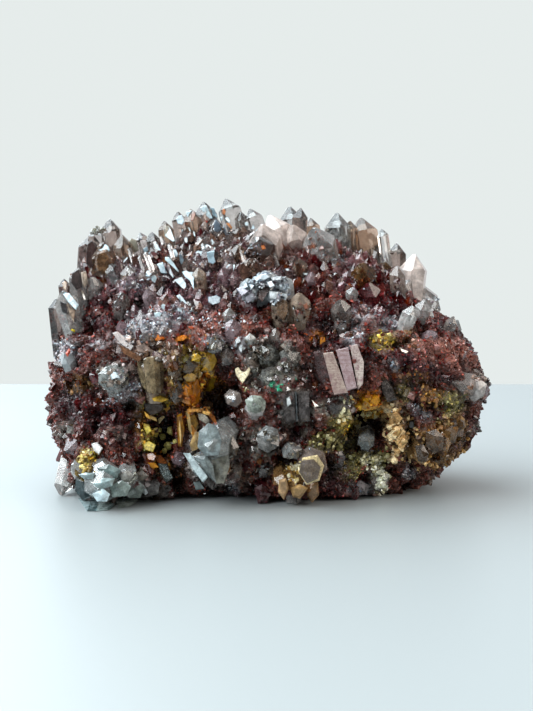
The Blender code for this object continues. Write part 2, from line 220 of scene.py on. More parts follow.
def crystal_shape(foot, tip, width, roll, rng):
    """Vertices and faces of one closed crystal, as part.py makes it."""
    foot, tip = Vector(foot), Vector(tip)
    axis = (tip - foot).normalized()
    length = (tip - foot).length
    one = bmesh.new()
    bmesh.ops.create_cone(
        one, cap_ends=True, cap_tris=False, segments=6, radius1=width / math.sqrt(3),
        radius2=width / math.sqrt(3), depth=length,
        matrix=Matrix.Translation((0, 0, -length / 2)),
    )
    squash = 1.0 + rng.uniform(-0.18, 0.18)
    for v in one.verts:
        v.co.x *= squash
    slope = math.radians(POINT_SLOPE)
    for k in range(6):
        set_back = width * (rng.uniform(0.0, 0.04) + (0.05 if k % 2 else 0.0))
        turn = math.radians(60 * k)
        n = Vector((math.sin(slope) * math.cos(turn), math.sin(slope) * math.sin(turn), math.cos(slope)))
        geom = one.verts[:] + one.edges[:] + one.faces[:]
        cut = bmesh.ops.bisect_plane(
            one, geom=geom, dist=1e-5, plane_co=n * set_back, plane_no=n, clear_outer=True
        )
        ring = [e for e in cut["geom_cut"] if isinstance(e, bmesh.types.BMEdge)]
        if len(ring) >= 3:
            bmesh.ops.holes_fill(one, edges=ring, sides=0)
    bmesh.ops.remove_doubles(one, verts=one.verts[:], dist=width * 0.01)
    bmesh.ops.dissolve_degenerate(one, edges=one.edges[:], dist=width * 0.005)
    bmesh.ops.recalc_face_normals(one, faces=one.faces[:])
    own = np.array([v.co[:] for v in one.verts])
    turn = Vector((0, 0, 1)).rotation_difference(axis).to_matrix().to_4x4()
    one.transform(Matrix.Translation(tip) @ turn @ Matrix.Rotation(roll, 4, "Z"))
    verts = np.array([v.co[:] for v in one.verts])
    faces = [[v.index for v in f.verts] for f in one.faces]
    one.free()
    return own, verts, faces


def faced(axis, rng):
    """The roll that turns one face of a point up and to the left front."""
    turn = Vector((0, 0, 1)).rotation_difference(axis).to_matrix()
    aim = turn.inverted() @ Vector((-0.46, -0.72, 0.60))
    return math.atan2(aim.y, aim.x) + rng.uniform(-0.16, 0.16)


def seeded_spots(core, rng, count, gap, wanted):
    faces = [f for f in core.faces if f.calc_center_median().z > 3.0]
    weights = [f.calc_area() for f in faces]
    spots = []
    for _ in range(count * 60):
        face = rng.choices(faces, weights)[0]
        a, b = rng.random(), rng.random()
        if a + b > 1:
            a, b = 1 - a, 1 - b
        p0, p1, p2 = (v.co for v in face.verts)
        p = p0 + (p1 - p0) * a + (p2 - p0) * b
        if not wanted(p, face.normal):
            continue
        if all((p - q).length > gap for q, _ in spots):
            spots.append((p.copy(), face.normal.copy()))
        if len(spots) >= count:
            break
    return spots


def jitter(rng, amount):
    return Vector((rng.gauss(0, amount), rng.gauss(0, amount), rng.gauss(0, amount)))


def lay_out():
    """All the CAD's crystals and blocks, in the CAD's own order."""
    rng = random.Random(SEED)
    core = core_mesh(CORE_DETAIL)
    tree = BVHTree.FromBMesh(core)
    made, blocks, tips = [], [], []
    for u0, v0, u1, v1, width, nearer, kind in MAIN:
        foot = foot_on(tree, u1, v1)
        root = 3.0
        if foot.z > 60 and nearer < 4:
            back = rng.uniform(-2.0, 8.0)
            foot = on_sheet(u1, v1, foot.y + back)[0]
            root = 5.0 + max(0.0, back) * 0.6
        tip, _ = on_sheet(u0, v0, foot.y - nearer)
        axis = (tip - foot).normalized()
        roll = faced(axis, rng)
        shape = crystal_shape(foot - axis * root, tip, width, roll, rng)
        made.append(dict(kind=kind, foot=foot, tip=tip, width=width, roll=roll, shape=shape))
        tips.append(((tip + foot) / 2, width))
    for u0, v0, u1, v1, width, depth in LATHS:
        foot = foot_on(tree, u1, v1) + Vector((0, -2.0, 0))
        top, _ = on_sheet(u0, v0, foot.y)
        blocks.append((top, foot, width, depth))
        tips.append(((top + foot) / 2, 7.0))

    def clear(p, room):
        return all((p - q).length > room + w * 0.4 for q, w in tips)

    def crown(p, n):
        return (p.z > 44 or (p.y > 6 and p.z > 30)) and n.z > -0.2 and clear(p, 1.6)

    def flank(p, n):
        return 6 < p.z <= 44 and n.z > -0.5 and clear(p, 2.2)

    for p, n in seeded_spots(core, rng, CROWN_COUNT, 4.2, crown):
        axis = (n + Vector((0, -0.1 if p.y < 10 else 0.1, 0.8)) + jitter(rng, 0.16)).normalized()
        width = rng.uniform(2.6, 4.8)
        stand = width * rng.uniform(0.8, 1.35)
        tip = p + axis * stand
        roll = faced(axis, rng)
        shape = crystal_shape(p - axis * 3.0, tip, width, roll, rng)
        made.append(dict(kind="crown", foot=p, tip=tip, width=width, roll=roll, shape=shape))
    for p, n in seeded_spots(core, rng, FLANK_COUNT, 6.5, flank):
        axis = (n + jitter(rng, 0.30)).normalized()
        width = rng.uniform(3.0, 5.6)
        stand = width * rng.uniform(0.45, 0.8)
        tip = p + axis * stand
        roll = faced(axis, rng)
        shape = crystal_shape(p - axis * 3.0, tip, width, roll, rng)
        made.append(dict(kind="flank", foot=p, tip=tip, width=width, roll=roll, shape=shape))
    return core, tree, made, blocks


core, tree, crystals, blocks = lay_out()


# ------------------------------------------------------------- mesh building
def lin(code):
    """A hex sRGB colour as linear RGB."""
    out = []
    for k in (1, 3, 5):
        c = int(code[k : k + 2], 16) / 255
        out.append(c / 12.92 if c <= 0.04045 else ((c + 0.055) / 1.055) ** 2.4)
    return np.array(out)


class Heap:
    """Gathers many small closed shapes, in mm, into one mesh."""

    def __init__(self):
        self.verts, self.loops, self.totals = [], [], []
        self.marks = {"tint": [], "axial": [], "along": [], "seed": [], "cloud": []}
        self.count = 0

    def add(self, verts, faces, tint, axial=None, along=None, seed=0.0, cloud=0.0):
        n = len(verts)
        verts = np.array(verts, float)
        verts[:, 2] = np.maximum(verts[:, 2], 0.0)  # all is cut flat at the foot
        self.verts.append(verts)
        self.loops.append(np.array([i + self.count for f in faces for i in f], int))
        self.totals.append(np.array([len(f) for f in faces], int))
        self.count += n
        tint = np.asarray(tint, float)
        self.marks["tint"].append(tint if tint.ndim == 2 else np.tile(tint, (n, 1)))
        self.marks["axial"].append(np.zeros(n) if axial is None else axial)
        self.marks["along"].append(np.zeros(n) if along is None else along)
        self.marks["seed"].append(np.full(n, seed))
        cloud = np.asarray(cloud, float)
        self.marks["cloud"].append(cloud if cloud.ndim == 1 else np.full(n, float(cloud)))

    def add_many(self, template, turns, places, tints, seeds, clouds=None, along=None, out=None):
        """Copies of a template (verts, faces) by (k, 3, 3) and (k, 3) arrays;
        out, when given, is the way out of the crust at each copy, and then each copy
        gets painted shade: darker where it lies deep, lighter where it stands out."""
        verts, faces = template
        k, n = len(places), len(verts)
        if not k:
            return
        moved = np.einsum("kij,nj->kni", turns, verts) + places[:, None, :]
        moved[:, :, 2] = np.maximum(moved[:, :, 2], 0.0)
        loops = np.array([i for f in faces for i in f], int)
        totals = np.array([len(f) for f in faces], int)
        self.verts.append(moved.reshape(-1, 3))
        self.loops.append((loops[None] + self.count + n * np.arange(k)[:, None]).ravel())
        self.totals.append(np.tile(totals, k))
        self.count += k * n
        tone = np.repeat(tints, n, axis=0)
        if out is not None:  # painted shade: what lies deep between its neighbours is darker
            rise = np.einsum("kni,ki->kn", moved - places[:, None, :], out)
            rise /= np.abs(rise).max(axis=1)[:, None] + 1e-9
            tone = tone * np.clip(0.72 + 0.75 * rise, 0.12, 1.5).ravel()[:, None]
        self.marks["tint"].append(np.minimum(tone, 0.9))
        self.marks["axial"].append(np.tile(verts[:, 2], k))
        self.marks["along"].append(np.tile(np.zeros(n) if along is None else along, k))
        self.marks["seed"].append(np.repeat(seeds, n))
        self.marks["cloud"].append(
            np.zeros(k * n) if clouds is None else np.repeat(clouds, n)
        )

    def piece(self, name, material, slot, smooth=False):
        """The heap as one object that rides on the cluster."""
        verts = np.concatenate(self.verts) * MM
        loops = np.concatenate(self.loops)
        totals = np.concatenate(self.totals)
        mesh = bpy.data.meshes.new(name)
        mesh.vertices.add(len(verts))
        mesh.vertices.foreach_set("co", verts.ravel())
        mesh.loops.add(len(loops))
        mesh.loops.foreach_set("vertex_index", loops.astype(np.int32))
        starts = np.concatenate([[0], np.cumsum(totals)[:-1]])
        mesh.polygons.add(len(totals))
        mesh.polygons.foreach_set("loop_start", starts.astype(np.int32))
        mesh.polygons.foreach_set("loop_total", totals.astype(np.int32))
        mesh.polygons.foreach_set("use_smooth", np.full(len(totals), smooth))
        mesh.update(calc_edges=True)
        mesh.validate()
        paint(mesh, {k: np.concatenate(v) for k, v in self.marks.items()})
        ob = bpy.data.objects.new(name, mesh)
        bpy.context.scene.collection.objects.link(ob)
        mesh.materials.append(material)
        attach(ob, "root")
        return ob


def paint(mesh, marks):
    """Point attributes that the materials read."""
    for key, values in marks.items():
        if key == "tint":
            colour = mesh.attributes.new("tint", "FLOAT_COLOR", "POINT")
            rgba = np.concatenate([values, np.ones((len(values), 1))], axis=1)
            colour.data.foreach_set("color", rgba.ravel().astype(np.float32))
        else:
            mark = mesh.attributes.new(key, "FLOAT", "POINT")
            mark.data.foreach_set("value", np.asarray(values, np.float32))


def frames(axes, rolls):
    """Rotation matrices (k, 3, 3) that take +Z to each axis, after a roll."""
    z = axes / np.linalg.norm(axes, axis=1)[:, None]
    ref = np.where(np.abs(z[:, 2:3]) < 0.9, np.array([[0, 0, 1.0]]), np.array([[1.0, 0, 0]]))
    x = np.cross(ref, z)
    x /= np.linalg.norm(x, axis=1)[:, None]
    y = np.cross(z, x)
    c, s = np.cos(rolls)[:, None], np.sin(rolls)[:, None]
    return np.stack([x * c + y * s, y * c - x * s, z], axis=2)


# ------------------------------------------------------- where each stuff is
# Kind, U, V of the middle, half width and half height on the show side, tilt in
# degrees. Between them is the dark red hematite druse.
ZONES = [
    ("smoke", 200, 232, 76, 24, 0), ("smoke", 290, 234, 46, 18, 0), ("smoke", 362, 240, 28, 18, 20),
    ("smoke", 405, 268, 22, 22, 20), ("wine", 352, 276, 40, 16, 10), ("wine", 322, 262, 20, 10, 0), ("wine", 388, 306, 34, 12, 25), ("lilac", 205, 282, 60, 24, 0), ("lilac", 133, 280, 26, 16, 0),
    ("rose", 222, 324, 34, 13, 0), ("silver", 156, 321, 44, 15, -22), ("silver", 270, 287, 21, 14, 0),
    ("silver", 66, 352, 15, 12, 0), ("silver", 97, 345, 9, 7, 0), ("silver", 128, 391, 14, 9, -25),
    ("silver", 338, 284, 10, 10, 0), ("silver", 364, 311, 15, 8, 0), ("silver", 386, 322, 13, 8, 0),
    ("silver", 352, 332, 12, 12, 0), ("silver", 433, 301, 11, 8, 40), ("silver", 421, 413, 11, 6, 35),
    ("silver", 394, 365, 5, 6, 0), ("silver", 360, 489, 14, 7, 0), ("silver", 408, 473, 6, 5, 0),
    ("silver", 215, 342, 11, 9, 0), ("silver", 137, 281, 17, 10, -20), ("silver", 345, 262, 14, 7, 0),
    ("silver", 182, 314, 8, 7, 0), ("silver", 240, 345, 6, 9, 0), ("silver", 232, 488, 7, 7, 0),
    ("grey", 272, 364, 27, 24, 0), ("grey", 118, 494, 46, 17, 0), ("grey", 212, 457, 24, 32, 0),
    ("grey", 112, 377, 19, 15, 0), ("grey", 296, 408, 19, 20, 0), ("grey", 262, 444, 17, 18, 0),
    ("grey", 338, 405, 20, 9, -15), ("grey", 474, 386, 12, 14, 60), ("grey", 64, 430, 8, 10, 0),
    ("blush", 150, 350, 32, 15, 18), ("blush", 240, 478, 12, 10, 0), ("brown", 150, 378, 14, 20, 0),
    ("brown", 388, 390, 7, 14, -20), ("brown", 250, 268, 16, 12, 0), ("brown", 290, 312, 20, 14, 0),
    ("gold", 194, 360, 14, 13, 0), ("rust", 205, 379, 13, 13, 0), ("rust", 190, 393, 12, 15, 0),
    ("rust", 160, 338, 6, 4, 0), ("rust", 183, 338, 8, 4, 0), ("gold", 156, 404, 14, 8, 0),
    ("gold", 149, 440, 9, 14, 0), ("rust", 158, 461, 11, 8, 30), ("gold", 88, 461, 10, 13, 0),
    ("gold", 382, 341, 12, 9, 0), ("rust", 369, 403, 15, 12, 0), ("gold", 347, 424, 9, 9, 0),
    ("tan", 397, 426, 12, 32, -10), ("olive", 344, 441, 26, 9, 0), ("olive", 372, 458, 30, 8, 0),
    ("cream", 379, 478, 8, 17, -12), ("cream", 371, 459, 8, 4, 0), ("olive", 350, 469, 14, 12, 0),
    ("umber", 438, 446, 25, 21, 0), ("umber", 458, 434, 12, 14, 0), ("tan", 452, 462, 16, 5, -35),
    ("tan", 418, 452, 4, 18, 0), ("olive", 452, 403, 16, 12, 0), ("tan", 446, 421, 13, 7, -20),
    ("umber", 430, 394, 13, 12, 0), ("rose", 456, 352, 24, 22, 35), ("wine", 447, 328, 17, 8, 32),
    ("rose", 425, 346, 15, 12, 0), ("wine", 405, 361, 18, 11, 0), ("wine", 330, 326, 26, 12, 0),
    ("wine", 377, 294, 23, 9, 0), ("wine", 345, 254, 18, 7, 10), ("wine", 300, 300, 14, 14, 0),
    ("wine", 78, 330, 24, 5, 0), ("wine", 128, 317, 18, 8, 0), ("wine", 218, 292, 20, 8, 0),
    ("umber", 80, 384, 14, 10, 0), ("druse", 86, 376, 20, 18, 0), ("wine", 72, 406, 18, 14, 0), ("wine", 104, 420, 30, 16, 0), ("smoke", 112, 434, 18, 9, 0),
    ("wine", 300, 478, 20, 20, 0), ("wine", 335, 480, 14, 16, 0), ("rose", 268, 262, 14, 10, 0),
    ("wine", 440, 372, 30, 10, 0), ("rose", 250, 400, 14, 22, 0), ("rust", 316, 336, 8, 7, 0),
    ("vug", 75, 329, 22, 4, 0), ("vug", 142, 303, 9, 8, 0), ("vug", 218, 398, 19, 17, 0),
    ("vug", 226, 427, 12, 20, -15), ("vug", 166, 440, 10, 22, 0), ("vug", 132, 405, 12, 8, 0),
    ("vug", 367, 424, 17, 13, 0), ("vug", 412, 442, 6, 18, 0), ("vug", 284, 466, 11, 9, 0),
    ("vug", 178, 474, 8, 22, 0), ("vug", 330, 468, 5, 12, 0), ("vug", 299, 433, 8, 5, 0),
    ("vug", 210, 500, 40, 5, 0), ("vug", 86, 484, 9, 9, 0), ("rose", 83, 247, 8, 14, 0),
    ("wine", 100, 300, 26, 8, 0), ("wine", 92, 322, 30, 8, 0), ("umber", 214, 388, 10, 12, 0),
    ("rust", 212, 366, 6, 8, 0), ("umber", 176, 396, 8, 12, 0), ("umber", 140, 420, 8, 14, 0),
    ("umber", 170, 470, 12, 12, 0), ("umber", 200, 412, 12, 6, 0), ("rust", 190, 420, 6, 12, 0),
    ("gold", 365, 400, 9, 5, 0), ("cream", 345, 410, 8, 6, 0), ("olive", 320, 446, 16, 8, 0),
    ("olive", 336, 426, 10, 10, 0), ("wine", 252, 300, 8, 20, 0), ("wine", 342, 342, 16, 8, 0),
    ("brown", 268, 258, 14, 10, 0), ("brown", 404, 336, 14, 12, 0), ("olive", 404, 392, 8, 10, 0),
    ("umber", 412, 378, 16, 6, 0), ("smoke", 235, 255, 60, 10, 0), ("rose", 300, 250, 20, 6, 0),
]
# The colours of each kind of crust, its grain in mm, and the share of grains
# that lie with a face to the light.
STUFF = {
    "druse": (["#200c0a", "#401a16", "#602e26", "#80483c", "#9c6858", "#4c201a", "#2c100e", "#723c30"], 0.86, 0.06),
    "wine": (["#180a0c", "#34141a", "#542228", "#703034", "#442022", "#281014", "#5c3434", "#1a0c0e"], 0.84, 0.07),
    "rose": (["#4c1e1a", "#7c3c32", "#a05c4c", "#b87e6c", "#c89e8e", "#8e4a3c", "#602a22", "#ac6e5c"], 0.82, 0.09),
    "lilac": (["#36202a", "#5e4048", "#866870", "#b09aa2", "#d2c6cc", "#74505a", "#4a2c34", "#9a7e88"], 0.88, 0.15),
    "smoke": (["#2a1616", "#4e3432", "#785a56", "#a08a84", "#c4b6b0", "#664844", "#3a2422", "#8a706a"], 0.90, 0.13),
    # silver: white and pale lilac druse; its whitest blue tones are painted glints
    "silver": (["#5a5058", "#8a8490", "#b4b6be", "#d4dade", "#f4f8fa", "#dcdfe2", "#a49aa4", "#cfc4c4"], 0.72, 0.34),
    "grey": (["#3a3a34", "#5c5c54", "#80807a", "#a4a8a0", "#c4cac4", "#8e8474", "#6c645a", "#b0b4ac"], 1.00, 0.10),
    "blush": (["#6a4436", "#946a58", "#b89684", "#d2b8a6", "#e0cec0", "#b07452", "#84563e", "#c8a690"], 0.84, 0.07),
    "brown": (["#2c180e", "#4e3220", "#745238", "#967250", "#b4946a", "#5e4028", "#3a2414", "#866244"], 0.85, 0.05),
    "rust": (["#3a1602", "#6a2e04", "#a0520a", "#cc7a16", "#eaa436", "#8a4006", "#541f04", "#b8660e"], 0.80, 0.05),
    "gold": (["#3e2e06", "#6e560e", "#a0821e", "#ccae3e", "#ecdc8a", "#8a6c12", "#544008", "#b89830"], 0.78, 0.05),
    "cream": (["#867c54", "#b4aa84", "#d4ceb0", "#eeead6", "#f8f6e8", "#c4b890", "#9c9068", "#e2dcc2"], 0.78, 0.05),
    "tan": (["#76522a", "#9c7444", "#c0955e", "#d8b284", "#ecd6b2", "#ac8250", "#8a6236", "#cca672"], 0.74, 0.04),
    "olive": (["#201c08", "#3c3612", "#5e5624", "#827a44", "#a8a070", "#4a4216", "#2e280c", "#706834"], 0.74, 0.05),
    "umber": (["#1c0c02", "#3a1c06", "#623a12", "#8c5e24", "#b08442", "#4c2a0a", "#2a1404", "#764a18"], 0.84, 0.05),
    # the cavities: near-black, painted shade of the hollow over their own dark brown crust
    "vug": (["#080402", "#140c06", "#241808", "#34240e", "#1a1008", "#0c0804", "#2c1e0c", "#40301a"], 0.75, 0.02),
}
KINDS = [k for k in STUFF if k != "druse"] + ["druse"]
EARTHY = ("rust", "gold", "cream", "tan", "olive", "umber")
DEPTH_OF_TONE = 0.72
# Hollows (+) and swellings (-) of the matrix: U, V, half width and height,
# depth in mm, tilt in degrees.
DENTS = [
    (367, 423, 17, 13, 7.0, 0), (366, 446, 20, 7, 3.0, 0), (166, 440, 9, 20, 5.5, 0),
    (132, 405, 10, 7, 3.0, 0), (75, 329, 22, 5, 2.5, 0), (142, 303, 9, 8, 3.5, 0),
    (220, 397, 17, 15, 5.0, 0), (226, 426, 12, 18, 3.5, -15), (178, 474, 7, 20, 4.0, 0),
    (284, 466, 10, 8, 4.0, 0), (412, 442, 5, 17, 4.0, 0), (330, 468, 5, 12, 3.0, 0),
    (300, 432, 7, 5, 2.5, 0), (157, 411, 7, 6, 2.5, 0), (210, 500, 44, 6, 3.0, 0),
    (86, 485, 8, 8, 3.0, 0), (330, 498, 60, 5, 2.0, 0), (300, 300, 12, 8, 1.5, 0),
    (397, 428, 9, 30, -2.0, -10), (438, 440, 14, 14, -2.0, 0), (347, 424, 8, 7, -1.5, 0),
    (112, 378, 18, 14, -2.0, 0), (190, 392, 10, 12, -1.5, 0), (160, 322, 30, 10, -1.5, -24),
    (345, 330, 26, 8, 1.5, 0), (205, 312, 16, 6, 1.5, -10), (108, 412, 20, 6, 1.5, 0),
]


def sheet_dents(p, facing):
    """How deep (mm) the hollows are at each point (n, 3) of the show side."""
    u, v = sheet_of(p)
    out = np.zeros(len(p))
    for cu, cv, ru, rv, deep, tilt in DENTS:
        c, s = math.cos(math.radians(tilt)), math.sin(math.radians(tilt))
        du, dv = u - cu, v - cv
        d = ((du * c + dv * s) / ru) ** 2 + ((dv * c - du * s) / rv) ** 2
        out += deep * np.exp(-d * d)
    return np.where(facing, out, 0.0)


# where hematite stains the crystals the most: U, V, half width, half height,
# and what their colour is multiplied by
WASHES = [
    (388, 284, 64, 42, (1.10, 0.46, 0.46)), (300, 308, 46, 34, (1.02, 0.74, 0.74)), (445, 345, 44, 40, (1.36, 0.82, 0.68)),
    (312, 250, 34, 14, (1.05, 0.72, 0.74)), (150, 298, 46, 20, (1.02, 0.76, 0.80)), (90, 400, 48, 62, (0.90, 0.62, 0.60)),
    (225, 325, 42, 18, (1.02, 0.80, 0.80)), (290, 450, 72, 42, (0.72, 0.54, 0.46)), (345, 350, 50, 36, (1.02, 0.66, 0.56)),
    (200, 290, 60, 20, (1.0, 0.84, 0.86)),
]


def wash(u, v, share=1.0):
    out = np.ones((len(u), 3))
    for cu, cv, ru, rv, by in WASHES:
        here = share * np.exp(-(((u - cu) / ru) ** 2 + ((v - cv) / rv) ** 2))
        out *= 1 + here[:, None] * (np.array(by) - 1)
    return out


def wobble(p, scale, offset):
    """Smooth noise, -1 to 1, at each of the points (n, 3) in mm."""
    q = np.asarray(p, float) * scale + np.array(offset)
    return np.array([noise.noise(Vector(x)) for x in q])


def zone_weights(p, facing):
    """For points (n, 3): how much of each kind is there, (n, kinds)."""
    u, v = sheet_of(p)
    u = np.where(facing, u, 533.0 - u + 14.0)  # the back has its own spread
    u = u + 4.0 * wobble(p, 0.26, (4.0, 2.0, 8.0)) + 2.0 * wobble(p, 0.8, (1.0, 5.0, 3.0))
    v = v + 4.0 * wobble(p, 0.26, (7.0, 9.0, 1.0)) + 2.0 * wobble(p, 0.8, (6.0, 4.0, 2.0))
    out = np.zeros((len(p), len(KINDS)))
    for kind, cu, cv, ru, rv, tilt in ZONES:
        c, s = math.cos(math.radians(tilt)), math.sin(math.radians(tilt))
        du, dv = u - cu, v - cv
        d = ((du * c + dv * s) / ru) ** 2 + ((dv * c - du * s) / rv) ** 2
        w = 1.0 / (1.0 + np.exp(np.minimum((d - 1.0) * 4.5, 60.0)))
        k = KINDS.index(kind)
        out[:, k] = np.maximum(out[:, k], w)
    # the hollows and the small bright patches win over what they lie in
    strong = [KINDS.index(k) for k in ("vug", "silver", "rust", "gold", "cream", "tan")]
    top = out[:, strong].max(axis=1)
    for k in range(len(KINDS)):
        if k not in strong:
            out[:, k] *= 1 - 0.85 * top
    out[:, -1] = np.maximum(1.0 - out[:, :-1].sum(axis=1), 0.0)
    return out / out.sum(axis=1, keepdims=True)


PALETTES = [np.array([lin(c) for c in STUFF[k][0]]) for k in KINDS]
GRAIN_OF = np.array([STUFF[k][1] for k in KINDS])
GLINT_OF = np.array([STUFF[k][2] for k in KINDS])
# the share of each kind that is a packed mass of crystals and not grit
PACKED = {
    "smoke": 0.95, "lilac": 0.92, "silver": 0.62, "grey": 0.95, "blush": 0.92, "brown": 0.95,
    "wine": 0.85, "druse": 0.66, "rose": 0.42, "rust": 0.66, "gold": 0.55, "umber": 0.85,
    "olive": 0.5, "tan": 0.25, "cream": 0.35, "vug": 0.35,
}
PACKED_OF = np.array([PACKED[k] for k in KINDS])


def pick_kind(weights, rng):
    return (rng.random((len(weights), 1)) > np.cumsum(weights, axis=1)[:, :-1]).sum(axis=1)


def pick_tints(which, p, rng):
    """A colour for each point from its own kind's palette, in small patches."""
    patch = 0.5 + 0.62 * wobble(p, 0.55, (2.0, 6.0, 5.0)) + 0.30 * wobble(p, 1.5, (5.0, 2.0, 7.0))
    patch = patch + rng.normal(0, 0.13, len(p))
    out = np.zeros((len(which), 3))
    for k, colours in enumerate(PALETTES):
        here = np.where(which == k)[0]
        at = np.clip(patch[here], 0.0, 0.999) * (len(colours) - 1)
        low = at.astype(int)
        t = (at - low)[:, None]
        out[here] = colours[low] * (1 - t) + colours[low + 1] * t
    return out


# --------------------------------------------------------------------- lamps
# Soft windows: name, place and size in metres, power, colour.
WINDOWS = [
    ("window_back_left", (-0.66, 0.52, 0.92), (1.70, 1.20), 36.0, (0.82, 0.94, 1.0)),
    ("window_front_left", (-0.86, -0.62, 0.74), (1.00, 0.80), 19.0, (0.90, 0.97, 1.0)),
    ("window_right", (0.90, -0.36, 0.50), (0.60, 0.60), 5.0, (1.0, 0.90, 0.80)),
]


def light_faces(p, n, rng, spread=0.10):
    """For points and normals (k, 3): the face direction that sends a window's
    light out level from that side, and whether the surface allows it."""
    mm = np.array([np.array(w[1]) / MM for w in WINDOWS])
    facing = faces_eye(p, n)
    out_dir = p - np.array([[0, 0, 1.0]]) * p - np.array([[0.0, 4.0, 0.0]])
    out_dir = out_dir * np.array([[1.0, 1.0, 0.0]])
    out_dir /= np.linalg.norm(out_dir, axis=1)[:, None] + 1e-9
    eye = np.where(facing[:, None], np.array([EYE]), out_dir * 306.0 + np.array([[0, 0, 54.0]]))
    look = eye - p
    look /= np.linalg.norm(look, axis=1)[:, None]
    best = np.full(len(p), -9.0)
    half = np.zeros((len(p), 3))
    for k, at in enumerate(mm):
        ray = at[None] - p
        ray /= np.linalg.norm(ray, axis=1)[:, None]
        h = look + ray
        h /= np.linalg.norm(h, axis=1)[:, None]
        fit = (h * n).sum(axis=1) + rng.uniform(0, 0.35, len(p)) - (0.45 if k == 2 else 0.0)
        fit = np.where((ray * n).sum(axis=1) > -0.15, fit, -5.0)
        half = np.where((fit > best)[:, None], h, half)
        best = np.maximum(best, fit)
    half = half + rng.normal(0, spread, half.shape)
    half /= np.linalg.norm(half, axis=1)[:, None]
    return half, best > 0.35


# ------------------------------------------------------------------ materials
def material(name):
    mat = bpy.data.materials.new(name)
    mat.use_nodes = True
    tree = mat.node_tree
    return mat, tree, tree.nodes["Principled BSDF"]


def node(tree, kind, **settings):
    made = tree.nodes.new(kind)
    for key, value in settings.items():
        if key in made.inputs:
            made.inputs[key].default_value = value
        else:
            setattr(made, key, value)
    return made


def attribute(tree, name):
    return node(tree, "ShaderNodeAttribute", attribute_name=name)


def object_noise(tree, scale, detail=3.0, rough=0.55):
    """Noise over the object's own place, scale in cycles per metre."""
    place = node(tree, "ShaderNodeTexCoord")
    made = node(tree, "ShaderNodeTexNoise", Scale=scale, Detail=detail, Roughness=rough)
    tree.links.new(place.outputs["Object"], made.inputs["Vector"])
    return made.outputs["Fac"]


def cells(tree, scale):
    """A random colour for each small cell of space."""
    place = node(tree, "ShaderNodeTexCoord")
    made = node(tree, "ShaderNodeTexVoronoi", Scale=scale)
    tree.links.new(place.outputs["Object"], made.inputs["Vector"])
    return made.outputs["Color"]


def ramp(tree, source, low, high, to_low=0.0, to_high=1.0):
    made = node(tree, "ShaderNodeMapRange")
    made.inputs["From Min"].default_value = low
    made.inputs["From Max"].default_value = high
    made.inputs["To Min"].default_value = to_low
    made.inputs["To Max"].default_value = to_high
    tree.links.new(source, made.inputs["Value"])
    return made.outputs["Result"]


def maths(tree, operation, a, b=None):
    made = node(tree, "ShaderNodeMath", operation=operation)
    for k, source in enumerate((a, b)):
        if source is None:
            continue
        if isinstance(source, (int, float)):
            made.inputs[k].default_value = source
        else:
            tree.links.new(source, made.inputs[k])
    return made.outputs[0]


def vector_maths(tree, operation, a, b=None, scale=None):
    made = node(tree, "ShaderNodeVectorMath", operation=operation)
    for k, source in enumerate((a, b)):
        if source is None:
            continue
        if isinstance(source, tuple):
            made.inputs[k].default_value = source
        else:
            tree.links.new(source, made.inputs[k])
    if scale is not None:
        made.inputs["Scale"].default_value = scale
    return made.outputs[0]


def mix(tree, factor, a, b, blend="MIX"):
    made = node(tree, "ShaderNodeMix", data_type="RGBA", blend_type=blend)
    slots = [s for s in made.inputs if s.type == "RGBA"]
    for socket, source in ((made.inputs["Factor"], factor), (slots[0], a), (slots[1], b)):
        if isinstance(source, (int, float)):
            socket.default_value = source
        elif isinstance(source, (tuple, list, np.ndarray)):
            socket.default_value = (*source, 1.0)
        else:
            tree.links.new(source, socket)
    return [s for s in made.outputs if s.type == "RGBA"][0]


def gain(tree, colour, factor):
    """A colour times a number that a node gives."""
    grey = node(tree, "ShaderNodeCombineColor")
    for channel in ("Red", "Green", "Blue"):
        tree.links.new(factor, grey.inputs[channel])
    return mix(tree, 1.0, colour, grey.outputs["Color"], "MULTIPLY")


def bump(tree, shader, height, strength, distance):
    made = node(tree, "ShaderNodeBump", Strength=strength, Distance=distance)
    tree.links.new(height, made.inputs["Height"])
    tree.links.new(made.outputs["Normal"], shader.inputs["Normal"])


def glitter_normal(tree, shader, colour, tilt):
    """Each cell of the colour leans its own way, as tiny crystal faces do."""
    lean = vector_maths(tree, "SUBTRACT", colour, (0.5, 0.5, 0.5))
    lean = vector_maths(tree, "SCALE", lean, scale=tilt)
    place = node(tree, "ShaderNodeNewGeometry")
    sum_ = vector_maths(tree, "ADD", place.outputs["Normal"], lean)
    tree.links.new(vector_maths(tree, "NORMALIZE", sum_), shader.inputs["Normal"])


def druse_material(name, cell, tilt, rough, level, ior, low=0.6, high=1.4, pale=(0.50, 0.36, 0.40)):
    """A crust of tiny crystals: every cell has its own lean, tone and gloss."""
    mat, tree, shader = material(name)
    tint = attribute(tree, "tint").outputs["Color"]
    bits = cells(tree, cell)
    split = node(tree, "ShaderNodeSeparateColor")
    tree.links.new(bits, split.inputs["Color"])
    tone = ramp(tree, split.outputs["Red"], 0.0, 1.0, low, high)
    broad = object_noise(tree, cell * 0.16, 3.0)
    tone = maths(tree, "MULTIPLY", tone, ramp(tree, broad, 0.35, 0.65, 0.7, 1.25))
    colour = gain(tree, tint, tone)
    colour = mix(tree, ramp(tree, split.outputs["Green"], 0.90, 0.98, 0.0, 0.30), colour, pale)
    tree.links.new(colour, shader.inputs["Base Color"])
    tree.links.new(
        ramp(tree, split.outputs["Blue"], 0.0, 1.0, rough[0], rough[1]), shader.inputs["Roughness"]
    )
    shader.inputs["Specular IOR Level"].default_value = level
    shader.inputs["IOR"].default_value = ior
    glitter_normal(tree, shader, bits, tilt)
    return mat


